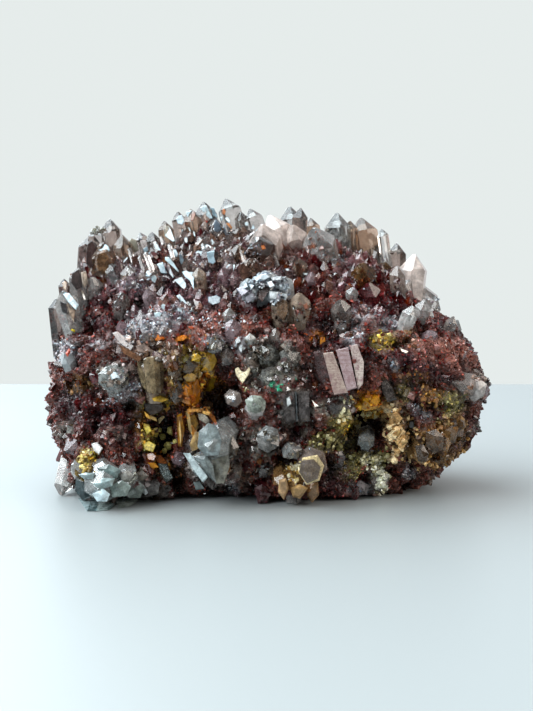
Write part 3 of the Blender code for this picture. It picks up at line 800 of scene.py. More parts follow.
def earthy_material(name, grain=2400.0):
    """Iron stain and clay-like crusts: waxy lumps with pitted, sugary skin."""
    mat, tree, shader = material(name)
    tint = attribute(tree, "tint").outputs["Color"]
    speck = object_noise(tree, grain, 4.0, 0.65)
    patch = object_noise(tree, grain * 0.2, 3.0, 0.6)
    tone = maths(
        tree, "MULTIPLY", ramp(tree, speck, 0.36, 0.64, 0.55, 1.40),
        ramp(tree, patch, 0.36, 0.64, 0.65, 1.30),
    )
    colour = gain(tree, tint, tone)
    colour = mix(tree, ramp(tree, patch, 0.60, 0.74, 0.0, 0.4), colour, (0.12, 0.05, 0.015))
    tree.links.new(colour, shader.inputs["Base Color"])
    tree.links.new(ramp(tree, speck, 0.3, 0.7, 0.16, 0.55), shader.inputs["Roughness"])
    shader.inputs["Specular IOR Level"].default_value = 0.42
    bump(tree, shader, speck, 0.45, 0.00035)
    return mat


def quartz_material(name, absorb, density, cloud_tint, veil=0.22, level=0.8, deep=0.75, flecks=0.0, satin=(0.0, 0.05)):
    """Clear quartz: see-through, faintly tinted, milky and stained low down."""
    mat, tree, shader = material(name)
    tint = attribute(tree, "tint").outputs["Color"]
    along = attribute(tree, "along").outputs["Fac"]
    cloud = attribute(tree, "cloud").outputs["Fac"]
    wisps = object_noise(tree, 520.0, 5.0, 0.7)
    fine = object_noise(tree, 2600.0, 3.0, 0.6)
    # milkiness: more at the foot and in wispy veils, least in the point
    low = ramp(tree, along, 0.0, 0.6, 0.17, 0.0)
    wisp = ramp(tree, wisps, 0.46, 0.64, 0.0, veil)
    milky = maths(tree, "ADD", maths(tree, "ADD", low, wisp), cloud)
    milky = maths(tree, "MINIMUM", maths(tree, "MAXIMUM", milky, 0.0), 0.96)
    clear = maths(tree, "SUBTRACT", 1.0, milky)
    tree.links.new(clear, shader.inputs["Transmission Weight"])
    stain = mix(tree, ramp(tree, fine, 0.42, 0.62), tint, cloud_tint)
    colour = mix(tree, maths(tree, "MULTIPLY", low, 1.5), tint, stain)
    colour = gain(tree, colour, ramp(tree, wisps, 0.37, 0.63, deep, 1.15))
    if flecks:
        blots = object_noise(tree, 1150.0, 4.0, 0.65)
        colour = mix(tree, ramp(tree, blots, 0.54, 0.68, 0.0, flecks), colour, cloud_tint)
        colour = gain(tree, colour, ramp(tree, fine, 0.36, 0.64, 0.75, 1.2))
        bump(tree, shader, wisps, 0.35, 0.0008)
    tree.links.new(colour, shader.inputs["Base Color"])
    shader.inputs["IOR"].default_value = 1.544
    shader.inputs["Specular IOR Level"].default_value = level
    tree.links.new(ramp(tree, fine, 0.35, 0.75, *satin), shader.inputs["Roughness"])
    if density:
        out = tree.nodes["Material Output"]
        volume = node(tree, "ShaderNodeVolumeAbsorption")
        volume.inputs["Color"].default_value = (*absorb, 1.0)
        volume.inputs["Density"].default_value = density
        tree.links.new(volume.outputs["Volume"], out.inputs["Volume"])
    return mat


# ------------------------------------------------------------- the matrix
def fine_relief(p):
    q = Vector(p)
    return (
        0.70 * noise.noise(q * 0.33 + Vector((2.2, 8.1, 4.4)))
        + 0.45 * abs(noise.noise(q * 0.75 + Vector((5.0, 1.0, 2.0))))
        - 0.25
    )


def faces_eye(p, n):
    return ((np.array(EYE) - p) * n).sum(axis=1) > 0


fine = core_mesh(6, fine_relief)
bmesh.ops.subdivide_edges(fine, edges=fine.edges[:], cuts=2, use_grid_fill=True)
fine.normal_update()
at = np.array([v.co[:] for v in fine.verts])
up = np.array([v.normal[:] for v in fine.verts])
at -= up * sheet_dents(at, faces_eye(at, up))[:, None]
# flat steps: each cell of the crust is a plane with its own lean
dice = np.random.default_rng(SEED + 1)


def plates(at, count, lean, lift, most, rng):
    """How far each point (mm) is moved out by a patchwork of leaning planes."""
    seeds = at[rng.choice(len(at), count, replace=False)]
    found = KDTree(len(seeds))
    for k, q in enumerate(seeds):
        found.insert(q, k)
    found.balance()
    leans = rng.normal(0, lean, (count, 3))
    lifts = rng.normal(0, lift, count)
    near = np.array([found.find(q)[1] for q in at])
    step = lifts[near] + ((at - seeds[near]) * leans[near]).sum(axis=1)
    return np.clip(step, -most, most)


step = plates(at, 1100, 0.26, 0.62, 1.5, dice) + plates(at, 5200, 0.34, 0.26, 1.0, dice)
at += up * step[:, None]
mark = fine.verts.layers.float.new("step")
for v, q, s in zip(fine.verts, at, step):
    v.co = q
    v[mark] = s
cut = bmesh.ops.bisect_plane(
    fine, geom=fine.verts[:] + fine.edges[:] + fine.faces[:], dist=1e-4,
    plane_co=(0, 0, 0), plane_no=(0, 0, -1), clear_outer=True,
)
ring = [e for e in cut["geom_cut"] if isinstance(e, bmesh.types.BMEdge)]
bmesh.ops.holes_fill(fine, edges=ring, sides=0)
bmesh.ops.triangulate(fine, faces=[f for f in fine.faces if len(f.verts) > 4])
fine.normal_update()
fine_verts = np.array([v.co[:] for v in fine.verts])
fine_steps = np.array([v[mark] for v in fine.verts])
fine_faces = [[v.index for v in f.verts] for f in fine.faces]
fine_tree = BVHTree.FromBMesh(fine)
# broad normals, which the small steps do not upset
broad_norms = np.zeros_like(fine_verts)
core_tree = BVHTree.FromBMesh(core)
for k, q in enumerate(fine_verts):
    broad_norms[k] = core_tree.find_nearest(Vector(q))[1]

weights = zone_weights(fine_verts, faces_eye(fine_verts, broad_norms))
kinds_mean = np.array([colours.mean(axis=0) for colours in PALETTES])
matrix_tint = weights @ kinds_mean * DEPTH_OF_TONE * 0.75
# painted shade: the matrix is darker where its flat steps sink and lighter where they stand out
matrix_tint *= np.exp(0.6 * fine_steps).clip(0.3, 1.5)[:, None]
matrix = Heap()
matrix.add(fine_verts, fine_faces, matrix_tint)
crust = druse_material("hematite_crust", 2300.0, 0.9, (0.12, 0.45), 0.24, 1.54, 0.35, 1.7)
matrix_piece = matrix.piece("matrix", crust, "matrix", smooth=False)
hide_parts("quartz_cluster")

tri = np.array([(f[0], f[k], f[k + 1]) for f in fine_faces for k in range(1, len(f) - 1)])
tri_a, tri_b, tri_c = (fine_verts[tri[:, k]] for k in range(3))
tri_cross = np.cross(tri_b - tri_a, tri_c - tri_a)
tri_area = np.linalg.norm(tri_cross, axis=1)
tri_area[tri_area < 1e-9] = 1e-9


# ------------------------------------------------------------ surface spots
def surface_samples(count, rng, low=1.2):
    """Points and broad normals spread over the fine matrix by area."""
    keep = (tri_a[:, 2] + tri_b[:, 2] + tri_c[:, 2]) / 3 > low
    odds = np.where(keep, tri_area, 0)
    odds /= odds.sum()
    pick = rng.choice(len(tri), count, p=odds)
    s, t = rng.random(count), rng.random(count)
    over = s + t > 1
    s, t = np.where(over, 1 - s, s), np.where(over, 1 - t, t)
    p = tri_a[pick] + (tri_b - tri_a)[pick] * s[:, None] + (tri_c - tri_a)[pick] * t[:, None]
    n = 0.5 * tri_cross[pick] / tri_area[pick][:, None] + broad_norms[tri[pick, 0]]
    n /= np.linalg.norm(n, axis=1)[:, None]
    return p, n, broad_norms[tri[pick, 0]], fine_steps[tri[pick, 0]]


def thin_out(p, gaps):
    """Indices of points kept so that no two are nearer than their gap."""
    cell = float(np.max(gaps))
    grid, kept = {}, []
    keys = np.floor(p / cell).astype(int).tolist()
    places, gaps = p.tolist(), gaps.tolist()
    for i, (kx, ky, kz) in enumerate(keys):
        x, y, z = places[i]
        g = gaps[i]
        ok = True
        for dx in (-1, 0, 1):
            for dy in (-1, 0, 1):
                for dz in (-1, 0, 1):
                    for a, b, c, other in grid.get((kx + dx, ky + dy, kz + dz), ()):
                        if (x - a) ** 2 + (y - b) ** 2 + (z - c) ** 2 < 0.25 * (g + other) ** 2:
                            ok = False
                            break
                    if not ok:
                        break
                if not ok:
                    break
            if not ok:
                break
        if ok:
            grid.setdefault((kx, ky, kz), []).append((x, y, z, g))
            kept.append(i)
    return np.array(kept, int)


# --------------------------------------------------------------- templates
def hull(points):
    bm = bmesh.new()
    for p in points:
        bm.verts.new(p)
    bmesh.ops.convex_hull(bm, input=bm.verts[:])
    loose = [v for v in bm.verts if not v.link_faces]
    bmesh.ops.delete(bm, geom=loose, context="VERTS")
    bmesh.ops.remove_doubles(bm, verts=bm.verts[:], dist=1e-4)
    bmesh.ops.recalc_face_normals(bm, faces=bm.faces[:])
    bm.verts.index_update()
    verts = np.array([v.co[:] for v in bm.verts])
    faces = [[v.index for v in f.verts] for f in bm.faces]
    bm.free()
    return verts, faces


def cut_hull(rng, count, flats, depth=(0.18, 0.34), squash=(1.0, 1.0, 1.0)):
    """A random chip about one unit wide with a few broad flat faces. Also gives
    the direction of its broadest face."""
    p = rng.normal(size=(count, 3))
    p /= np.linalg.norm(p, axis=1)[:, None]
    p *= rng.uniform(0.85, 1.0, (count, 1)) * 0.5
    first = None
    for k in range(flats):
        n = rng.normal(size=3)
        n /= np.linalg.norm(n)
        d = rng.uniform(*depth) if k else depth[0]
        over = p @ n - d
        p = p - np.maximum(over, 0)[:, None] * n[None]
        first = n if first is None else first
    return (*hull(p * np.array(squash)), first)


def point_templates(count, rng, length=(1.2, 2.2)):
    """Small crystals one unit wide, tip at the origin, body down -Z."""
    out = []
    for _ in range(count):
        own, _, faces = crystal_shape(
            (0, 0, -rng.uniform(*length)), (0, 0, 0), 1.0, 0.0, rng
        )
        out.append((own, faces))
    return out


def turns_to(face, targets, rolls):
    """Rotations that lay a template's face direction along each target."""
    own = frames(face[None], np.zeros(1))[0]
    return frames(targets, rolls) @ own.T


def point_turns(axes, targets, wanted, rng):
    """Frames for small crystals; where wanted, one face looks to the target."""
    a = axes / np.linalg.norm(axes, axis=1)[:, None]
    plain = frames(a, rng.uniform(0, 6.28, len(a)))
    lean = (a * targets).sum(axis=1)
    side = a - lean[:, None] * targets
    side /= np.linalg.norm(side, axis=1)[:, None] + 1e-9
    steep = np.where(np.degrees(np.arccos(np.clip(lean, -1, 1))) > 71, 90.0, POINT_SLOPE)
    s = np.radians(steep)[:, None]
    z = targets * np.cos(s) + side * np.sin(s)
    e1 = targets - (targets * z).sum(axis=1)[:, None] * z
    e1 /= np.linalg.norm(e1, axis=1)[:, None] + 1e-9
    e2 = np.cross(z, e1)
    lit = np.stack([e1, e2, z], axis=2)
    return np.where(wanted[:, None, None], lit, plain)


# ----------------------------------------------------------- main crystals
TINTS = {
    "clear": ("#f6f6f3", "#eceae6", "#e6e0dc"), "smoky": ("#d8cac2", "#c8b6ac", "#e0d6d0"),
    "brown": ("#d6bca4", "#c6a68c", "#e0ccb8"), "dark": ("#b0a49e", "#9e9290", "#bcb2ac"),
    "grey": ("#d6dad8", "#c8cccc", "#e2e4e2"), "pink": ("#f6e6de", "#eedcd2", "#f8eee8"),
    "milky": ("#e8e6e2", "#dcd8d6", "#eeeae8"), "frost": ("#e8eef0", "#cfd8dc", "#dfe6ea"),
    "amber": ("#d09c60", "#dcb078", "#b87c40"), "garnet": ("#9a3e44", "#a84c50", "#843038"),
    "peach": ("#e0c49c", "#d0ac80", "#ecd8b8"), "mauve": ("#cab0b4", "#d6c4c8", "#b8989e"),
}
CLOUDS = {
    "clear": 0.0, "smoky": 0.02, "brown": 0.06, "dark": 0.0, "grey": 0.05, "pink": 0.52,
    "milky": 0.16, "frost": 0.24, "amber": 0.06, "garnet": -0.10, "peach": 0.5, "mauve": 0.06,
}
CROWN_KINDS = ("smoky", "smoky", "clear", "grey", "mauve", "dark", "clear", "mauve", "brown")
FLANK_KINDS = ("mauve", "dark", "mauve", "garnet", "mauve", "smoky")

tone = random.Random(SEED + 2)
glass = {"clear": Heap(), "smoky": Heap(), "stained": Heap()}
SHELF = {
    "clear": "clear", "grey": "clear", "milky": "clear", "frost": "clear", "pink": "clear",
    "mauve": "clear", "peach": "clear", "smoky": "smoky", "dark": "smoky", "brown": "smoky",
    "amber": "stained", "garnet": "stained",
}
phantoms = Heap()


def tint_of(kind, rng):
    a, b = rng.sample(TINTS[kind], 2)
    t = rng.random() * 0.6
    return lin(a) * (1 - t) + lin(b) * t


for one in crystals:
    kind = one["kind"]
    if kind == "crown":
        kind = tone.choice(CROWN_KINDS)
    elif kind == "flank":
        kind = tone.choice(FLANK_KINDS)
    by_edge = one["tip"].x < on_sheet(76, 290, 0.0)[0].x and one["tip"].z > 24
    if kind in ("clear", "grey") and by_edge:
        kind = "dark"
    own, verts, faces = one["shape"]
    deep = max(3.0, (one["tip"] - one["foot"]).length)
    along = np.clip(1 + own[:, 2] / deep, 0, 1)
    glass[SHELF[kind]].add(
        verts, faces, tint_of(kind, tone), axial=own[:, 2], along=along,
        seed=tone.random(),
        cloud=CLOUDS[kind] + tone.uniform(-0.03, 0.03) + (-0.08 if by_edge else 0.0 if one["tip"].z > 64 else 0.20),
    )
    # the phantom: an earlier, smaller crystal inside, dusted with hematite
    if kind in ("clear", "smoky", "grey", "brown", "dark", "milky") and one["width"] > 3.3:
        if tone.random() < 0.6:
            continue
        w = one["width"] * tone.uniform(0.48, 0.60)
        axis = (one["tip"] - one["foot"]).normalized()
        inner_tip = one["tip"] - axis * one["width"] * tone.uniform(0.7, 1.05)
        inner_foot = one["foot"] - axis * 1.0
        if (inner_tip - inner_foot).length > 1.2 * w * 0.7:
            own2, verts2, faces2 = crystal_shape(inner_foot, inner_tip, w, one["roll"], tone)
            red = lin(tone.choice(["#7e4044", "#8e4e50", "#6a3038", "#93605a"]))
            phantoms.add(verts2, faces2, red, axial=own2[:, 2], seed=tone.random())

# ------------------------------------------------------------ small points
small_templates = point_templates(24, random.Random(SEED + 3))
p, n, broad, rise = surface_samples(30000, dice)
front = faces_eye(p, broad)
w = zone_weights(p, front)
height = p[:, 2]
glassy = w[:, [KINDS.index(k) for k in ("smoke", "lilac", "silver", "grey", "blush")]].sum(axis=1)
vug = w[:, KINDS.index("vug")]
odds = np.clip(glassy, 0, 1) * 0.80 + 0.05
odds = np.maximum(odds, np.clip((height - 52) / 8, 0, 1)) * (1 - vug)
size = np.exp(dice.normal(0.26, 0.36, len(p))).clip(0.7, 2.8)
on = dice.random(len(p)) < odds
p, n, broad, w, size, front = p[on], n[on], broad[on], w[on], size[on], front[on]
order = np.argsort(-size)
p, n, broad, w, size, front = p[order], n[order], broad[order], w[order], size[order], front[order]
kept = thin_out(p, size * 0.80)
p, n, broad, w, size, front = p[kept], n[kept], broad[kept], w[kept], size[kept], front[kept]
lean = np.array([0.0, 0.0, 0.75])[None] * (p[:, 2:3] > 42)
axes = broad + lean + dice.normal(0, 0.25, p.shape)
half, able = light_faces(p, broad, dice)
share = (w * GLINT_OF[None]).sum(axis=1) * 1.6
wanted = able & (dice.random(len(p)) < share)
turns = point_turns(axes, half, wanted, dice)
axes = turns[:, :, 2]
scale = size[:, None, None] * np.ones((1, 3, 3))
stretch = dice.uniform(0.85, 1.45, len(p))
scale[:, :, 2] *= stretch[:, None]
stand = np.where(p[:, 2] > 50, dice.uniform(0.6, 1.05, len(p)), dice.uniform(0.30, 0.60, len(p)))
places = p + axes * (size * stretch * stand)[:, None]
which = dice.integers(0, len(small_templates), len(p))
shade = dice.random(len(p))
warm = w[:, [KINDS.index(k) for k in ("druse", "wine", "rose", "umber")]].sum(axis=1)
ground = w @ kinds_mean
bright_of = ground.max(axis=1)
ground = (ground / bright_of[:, None]) ** 0.55 * (0.62 + 0.38 * np.clip(bright_of / 0.35, 0, 1))[:, None]
ground = np.where(front[:, None], ground * wash(*sheet_of(p), 0.85), ground)
shade = np.where(dice.random(len(p)) < warm * 0.30, 0.95, shade * 0.97)
for shelf, low, high, names in (
    ("clear", 0.0, 0.58, ("clear", "grey", "mauve", "mauve", "mauve", "clear")),
    ("smoky", 0.58, 0.92, ("smoky", "dark", "smoky", "brown")),
    ("stained", 0.92, 1.01, ("garnet", "garnet", "amber")),
):
    for k, template in enumerate(small_templates):
        here = (which == k) & (shade >= low) & (shade < high)
        count = int(here.sum())
        if not count:
            continue
        tints = np.array([tint_of(tone.choice(names), tone) for _ in range(count)]) * ground[here]
        along = np.clip(1 + template[0][:, 2] / 1.1, 0, 1)
        glass[shelf].add_many(
            template, turns[here] * scale[here], places[here], tints,
            dice.random(count), dice.uniform(0.0, 0.22, count), along,
        )

quartz = {
    "clear": quartz_material("clear_quartz", (0.80, 0.71, 0.68), 75.0, lin("#7a4a4a"), 0.12, 0.7),
    "smoky": quartz_material("smoky_quartz", (0.62, 0.48, 0.41), 150.0, lin("#5a3030"), 0.10, 0.7),
    "stained": quartz_material("stained_quartz", (0.75, 0.30, 0.18), 160.0, lin("#4a1a18"), 0.15),
}

dust, tree_, shader = material("phantom_dust")
tint = attribute(tree_, "tint").outputs["Color"]
fleck = object_noise(tree_, 3200.0, 3.0, 0.7)
tree_.links.new(mix(tree_, ramp(tree_, fleck, 0.35, 0.65), tint, (0.42, 0.24, 0.19)), shader.inputs["Base Color"])
shader.inputs["Roughness"].default_value = 0.7
tree_.links.new(ramp(tree_, fleck, 0.48, 0.62, 0.03, 0.55), shader.inputs["Alpha"])

# --------------------------------------------------------------- fine druse
WARM = np.array([1.12, 0.86, 0.80])
# where the crust is made darker and redder, painted shade over the hollows and the crust's own deeper red: U, V, half
# width, half height, depth
SHADE_AND_RED_PATCHES = [
    (78, 418, 40, 46, 0.54), (80, 327, 24, 5, 0.66), (285, 458, 66, 30, 0.54), (340, 350, 60, 30, 0.36),
    (228, 395, 18, 26, 0.40), (128, 405, 26, 8, 0.30), (410, 310, 26, 10, 0.25), (235, 460, 14, 40, 0.20),
]


def wine(tints):
    """Dark grains are a deep red, the pale ones greyer, as frosted quartz is."""
    light = tints.mean(axis=1, keepdims=True)
    deep = np.clip(1 - light / 0.14, 0, 1)
    pallid = np.clip((light - 0.14) / 0.36, 0, 0.5)
    tints = tints * (1 + deep * np.array([0.12, -0.42, -0.40]))
    return tints * (1 - pallid) + light * np.array([1.07, 0.96, 0.98]) * pallid


def shade_and_red_of(p, facing):
    """The colour the crust is multiplied by, per point: painted shade over the hollows with the crust's deeper red, and
    the hematite washes.
    """
    u, v = sheet_of(p)
    dark = np.zeros(len(p))
    for cu, cv, ru, rv, depth in SHADE_AND_RED_PATCHES:
        dark = np.maximum(dark, depth * np.exp(-(((u - cu) / ru) ** 2 + ((v - cv) / rv) ** 2)))
    dark -= 0.18 * np.exp(-(((u - 445) / 34) ** 2 + ((v - 362) / 24) ** 2))
    dark = np.where(facing, dark, 0.08)[:, None]
    washed = np.where(facing[:, None], wash(u, v), np.array([1.02, 0.90, 0.90]))
    return (1.0 - dark * np.array([0.72, 1.05, 1.10])) * washed



chips = [cut_hull(dice, 8, 2) for _ in range(24)]
crumbs = [cut_hull(dice, 6, 1) for _ in range(24)]
p, n, broad, rise = surface_samples(190000, dice)
front = faces_eye(p, broad)
w = zone_weights(p, front)
which_kind = pick_kind(w, dice)
size = GRAIN_OF[which_kind] * np.exp(dice.normal(0.0, 0.30, len(p))).clip(0.5, 2.0)
size = np.where(front, size, size * 1.3)
order = np.argsort(-size)
p, n, broad, size, which_kind, rise = (a[order] for a in (p, n, broad, size, which_kind, rise))
kept = thin_out(p, size * np.where(PACKED_OF[which_kind] > 0.7, 0.95, 0.76))
p, n, broad, size, which_kind, rise = (a[kept] for a in (p, n, broad, size, which_kind, rise))
tints = pick_tints(which_kind, p, dice) * DEPTH_OF_TONE
# darker and paler drifts, a few mm across, through every kind of crust
drift = 0.55 * wobble(p, 0.45, (3.0, 3.0, 9.0)) + 0.45 * wobble(p, 1.1, (8.0, 1.0, 2.0))
# painted shade too: grains on raised steps of the matrix are lighter, those on sunk steps darker
drift_and_painted_shade = 1.15 * drift + 0.55 * rise + dice.normal(0.0, 0.13, len(p))
tints = tints * np.exp(drift_and_painted_shade).clip(0.2, 2.6)[:, None]
tints[np.isin(which_kind, [KINDS.index(k) for k in EARTHY])] *= 1.4
sandy = np.isin(which_kind, [KINDS.index(k) for k in EARTHY])[:, None]
tints = np.where(sandy, tints * WARM, wine(tints * WARM * shade_and_red_of(p, faces_eye(p, broad))))
tints = np.minimum(tints, 0.85)
half, able = light_faces(p, broad, dice)
wanted = able & (dice.random(len(p)) < GLINT_OF[which_kind])
loose = dice.normal(size=p.shape)
loose /= np.linalg.norm(loose, axis=1)[:, None]
target = np.where(wanted[:, None], half, loose)
rolls = dice.uniform(0, 6.28, len(p))
sunk = np.where(p[:, 0] > on_sheet(432, 380, 0.0)[0].x, 0.22, 0.0)
places = p + n * (size * (dice.uniform(-0.30, 0.10, len(p)) - sunk))[:, None]
which = dice.integers(0, len(chips), len(p))
earthy = np.isin(which_kind, [KINDS.index(k) for k in EARTHY])
lot = np.where(earthy, 4, dice.integers(0, 4, len(p)))
whole = wanted | (size > 0.95)
heaps = [Heap() for _ in range(5)]
for pool, mine in ((chips, whole), (crumbs, ~whole)):
    for k, (verts, faces, face) in enumerate(pool):
        for side in range(5):
            here = (which == k) & (lot == side) & mine
            count = int(here.sum())
            if not count:
                continue
            turns = turns_to(face, target[here], rolls[here]) * size[here][:, None, None]
            # out= gives each grain painted shade, darker on its sunk side
            heaps[side].add_many(
                (verts, faces), turns, places[here], tints[here], dice.random(count), out=broad[here]
            )
druse = druse_material("druse_grains", 2200.0, 0.45, (0.06, 0.30), 0.26, 1.54, 0.55, 1.5)
iron = earthy_material("iron_stain")

# ------------------------------------------------------- packed broken quartz
# Half-sunk glassy pieces a few mm wide: the crust is a packed mass of crystals.
packed = Heap()
packed_stain = Heap()
slivers = [cut_hull(dice, 9, 3, (0.20, 0.34), (1.0, 1.0, s)) for s in np.linspace(0.75, 1.3, 34)]
p, n, broad, rise = surface_samples(34000, dice)
front = faces_eye(p, broad)
which_kind = pick_kind(zone_weights(p, front), dice)
earthy = np.isin(which_kind, [KINDS.index(k) for k in EARTHY])
size = np.exp(dice.normal(0.50, 0.34, len(p))).clip(0.9, 3.4) * np.where(earthy, 0.8, 1.0)
# finer along the right foot, where the outline runs straight
nook = on_sheet(452, 405, 0.0)[0]
size *= np.where((p[:, 0] > nook.x) & (p[:, 2] < nook.z), 0.6, 1.0)
on = dice.random(len(p)) < PACKED_OF[which_kind]
p, n, broad, size, which_kind, earthy = (a[on] for a in (p, n, broad, size, which_kind, earthy))
order = np.argsort(-size)
p, n, broad, size, which_kind, earthy = (a[order] for a in (p, n, broad, size, which_kind, earthy))
kept = thin_out(p, size * 0.80)
p, n, broad, size, which_kind, earthy = (a[kept] for a in (p, n, broad, size, which_kind, earthy))
half, able = light_faces(p, broad, dice)
wanted = able & (dice.random(len(p)) < 0.06 + 1.1 * GLINT_OF[which_kind])
loose = dice.normal(size=p.shape)
loose /= np.linalg.norm(loose, axis=1)[:, None]
target = np.where(wanted[:, None], half, loose)
rolls = dice.uniform(0, 6.28, len(p))
drift = 0.55 * wobble(p, 0.45, (3.0, 3.0, 9.0)) + 0.45 * wobble(p, 1.1, (8.0, 1.0, 2.0))
tints = pick_tints(which_kind, p, dice)
glassy_tints = (tints * 0.90) ** 0.74
tints = np.where(earthy[:, None], tints * 1.1, glassy_tints * WARM)
tints = tints * np.exp(0.8 * drift + dice.normal(0.0, 0.16, len(p))).clip(0.3, 1.8)[:, None]
tints = np.where(earthy[:, None], tints, wine(tints * shade_and_red_of(p, faces_eye(p, broad))))
tints = np.minimum(tints, 0.85)
# deeper set at the right end, where the outline is smooth
sunk = np.where(p[:, 0] > on_sheet(432, 380, 0.0)[0].x, 0.24, 0.0)
places = p + n * (size * (dice.uniform(-0.26, 0.08, len(p)) - sunk))[:, None]
which = dice.integers(0, len(slivers), len(p))
for k, (verts, faces, face) in enumerate(slivers):
    for stained, heap in ((False, packed), (True, packed_stain)):
        here = (which == k) & (earthy == stained)
        count = int(here.sum())
        if count:
            turns = turns_to(face, target[here], rolls[here]) * size[here][:, None, None]
            heap.add_many(
                (verts, faces), turns, places[here], tints[here], dice.random(count),
                dice.uniform(0.20, 0.62, count), np.full(len(verts), 0.7),
            )

stack_verts, stack_faces, base = [list(q) for q in fine_verts], list(fine_faces), len(fine_verts)
for one in crystals:
    own, verts, faces = one["shape"]
    stack_verts += [list(q) for q in verts]
    stack_faces += [[i + base for i in f] for f in faces]
    base += len(verts)
for heap in (packed, packed_stain):
    stack_verts += np.concatenate(heap.verts).tolist()
    loops = np.concatenate(heap.loops) + base
    ends = np.cumsum(np.concatenate(heap.totals))
    stack_faces += [part.tolist() for part in np.split(loops, ends[:-1])]
    base += heap.count
show_tree = BVHTree.FromPolygons(stack_verts, stack_faces)


def surface_at(u, v):
    """Where the line of sight through U, V meets the matrix or a crystal."""
    for dv in (0, 2, 4, 7, 11, 16, 24):
        _, ray = on_sheet(u, v + dv, 0.0)
        hit, n, _, _ = show_tree.ray_cast(Vector(EYE), ray)
        if hit is not None:
            return on_sheet(u, v, hit.y)[0]
    return on_sheet(u, v, 0.0)[0]


# ------------------------------------------------------- crystals set one by one
# Bright-faced small crystals of the left shoulder and the crest: U, V of tip
# and foot, width in mm.
LIT = [
    (180, 227, 184, 238, 1.1), (155, 241, 158, 255, 1.5), (145, 252, 150, 264, 1.5),
    (139, 256, 143, 266, 1.3), (199, 237, 203, 246, 1.2), (129, 247, 132, 257, 1.3),
    (168, 244, 172, 254, 1.1), (159, 232, 163, 242, 1.3), (128, 268, 132, 277, 1.2),
    (240, 249, 243, 257, 1.1), (187, 301, 191, 309, 1.1), (272, 252, 275, 260, 1.2),
]


shapes_rng = random.Random(SEED + 8)
lit_rng = np.random.default_rng(SEED + 9)
for u0, v0, u1, v1, width in LIT:
    foot = surface_at(u1, v1)
    here = np.array([list(foot)])
    half, _ = light_faces(here, np.array([[-0.3, -0.8, 0.5]]), lit_rng, 0.03)
    h = Vector(half[0])
    # the crystal leans so that one long face sends the light to the eye
    a, b = on_sheet(u0, v0, foot.y)[0], foot
    d = a - b
    d.y = -(d.x * h.x + d.z * h.z) / h.y
    d.y = max(-6.0, min(9.0, d.y))
    lift = Vector((0, -width * 0.45 - 0.6, 0))
    tip = foot + d + lift
    foot = foot + lift
    axis = (tip - foot).normalized()
    own, verts, faces = crystal_shape(foot - axis * 2.5, tip, width, 0.0, shapes_rng)
    e1 = (h - axis * h.dot(axis)).normalized()
    e2 = axis.cross(e1)
    rot = np.array([list(e1), list(e2), list(axis)]).T
    verts = own @ rot.T + np.array(tip)
    kind = shapes_rng.choice(["clear", "grey", "smoky"])
    glass[SHELF[kind]].add(
        verts, faces, tint_of(kind, shapes_rng), axial=own[:, 2],
        along=np.clip(1 + own[:, 2] / 6.0, 0, 1), seed=shapes_rng.random(), cloud=0.06,
    )

# ------------------------------------------------------------ larger pieces
def seated(verts):
    """The same corners, moved in until what lies under the piece holds it."""
    least = None
    for q in verts:
        q = Vector(q)
        spot, n, _, _ = fine_tree.find_nearest(q)
        if (q - spot).dot(n) < -0.1:
            return verts
        spot, n, _, d = show_tree.find_nearest(q)
        if (q - spot).dot(n) < -0.1:
            return verts
        if least is None or d < least[0]:
            least = (d, spot - q)
    d, way = least
    return verts if d < 0.05 else verts + np.array(way) * (1 + 0.6 / d)


class Seated(Heap):
    """A heap whose every piece is held by the crust under it."""

    def add(self, verts, faces, tint, **marks):
        super().add(seated(np.array(verts, float)), faces, tint, **marks)


chunky = Seated()   # translucent broken quartz and glassy crystals, veined
pale = Seated()     # clean quartz in large faces
waxy = Seated()     # ochre, cream and tan crusts
sparks = Seated()   # small hard bright chips
rock = np.random.default_rng(SEED + 11)


def tidy(bm):
    bmesh.ops.recalc_face_normals(bm, faces=bm.faces[:])
    bm.verts.index_update()
    verts = np.array([v.co[:] for v in bm.verts])
    faces = [[v.index for v in f.verts] for f in bm.faces]
    bm.free()
    return verts, faces


def slab(heap, outline, tint, proud=1.4, thick=4.0, bevel=0.5, lean=(0.0, 0.0), cloud=0.3, deepen=1.0):
    """A flat-faced piece with a given outline on the show side."""
    u = [a for a, _ in outline]
    v = [b for _, b in outline]
    cu, cv = sum(u) / len(u), sum(v) / len(v)
    under = [surface_at(cu, cv).y]
    under += [surface_at(cu + (a - cu) * 0.7, cv + (b - cv) * 0.7).y for a, b in outline]
    y0 = float(np.percentile(under, 35)) - proud
    mid = on_sheet(cu, cv, y0)[0]
    reach = max(0.5, float(np.mean([math.hypot(a - cu, b - cv) for a, b in outline])) / 3.35)

    def ring(shrink, back):
        made = []
        for a, b in outline:
            a, b = cu + (a - cu) * shrink, cv + (b - cv) * shrink
            y = y0 + back
            for _ in range(3):
                q = on_sheet(a, b, y)[0]
                y = y0 + back + lean[0] * (q.x - mid.x) + lean[1] * (q.z - mid.z)
            made.append(on_sheet(a, b, y)[0])
        return made

    bm = bmesh.new()
    rings = [ring(1 - bevel / reach, 0.0), ring(1.0, bevel), ring(0.92, thick)]
    rings = [[bm.verts.new(q) for q in r] for r in rings]
    count = len(outline)
    bm.faces.new(rings[0])
    bm.faces.new(rings[2][::-1])
    for r0, r1 in ((rings[0], rings[1]), (rings[1], rings[2])):
        for k in range(count):
            j = (k + 1) % count
            bm.faces.new((r0[k], r0[j], r1[j], r1[k]))
    verts, faces = tidy(bm)
    axial = verts[:, 2] * 1.0
    heap.add(verts, faces, lin(tint) * deepen, axial=axial, along=np.full(len(verts), 0.6),
             seed=rock.random(), cloud=cloud)


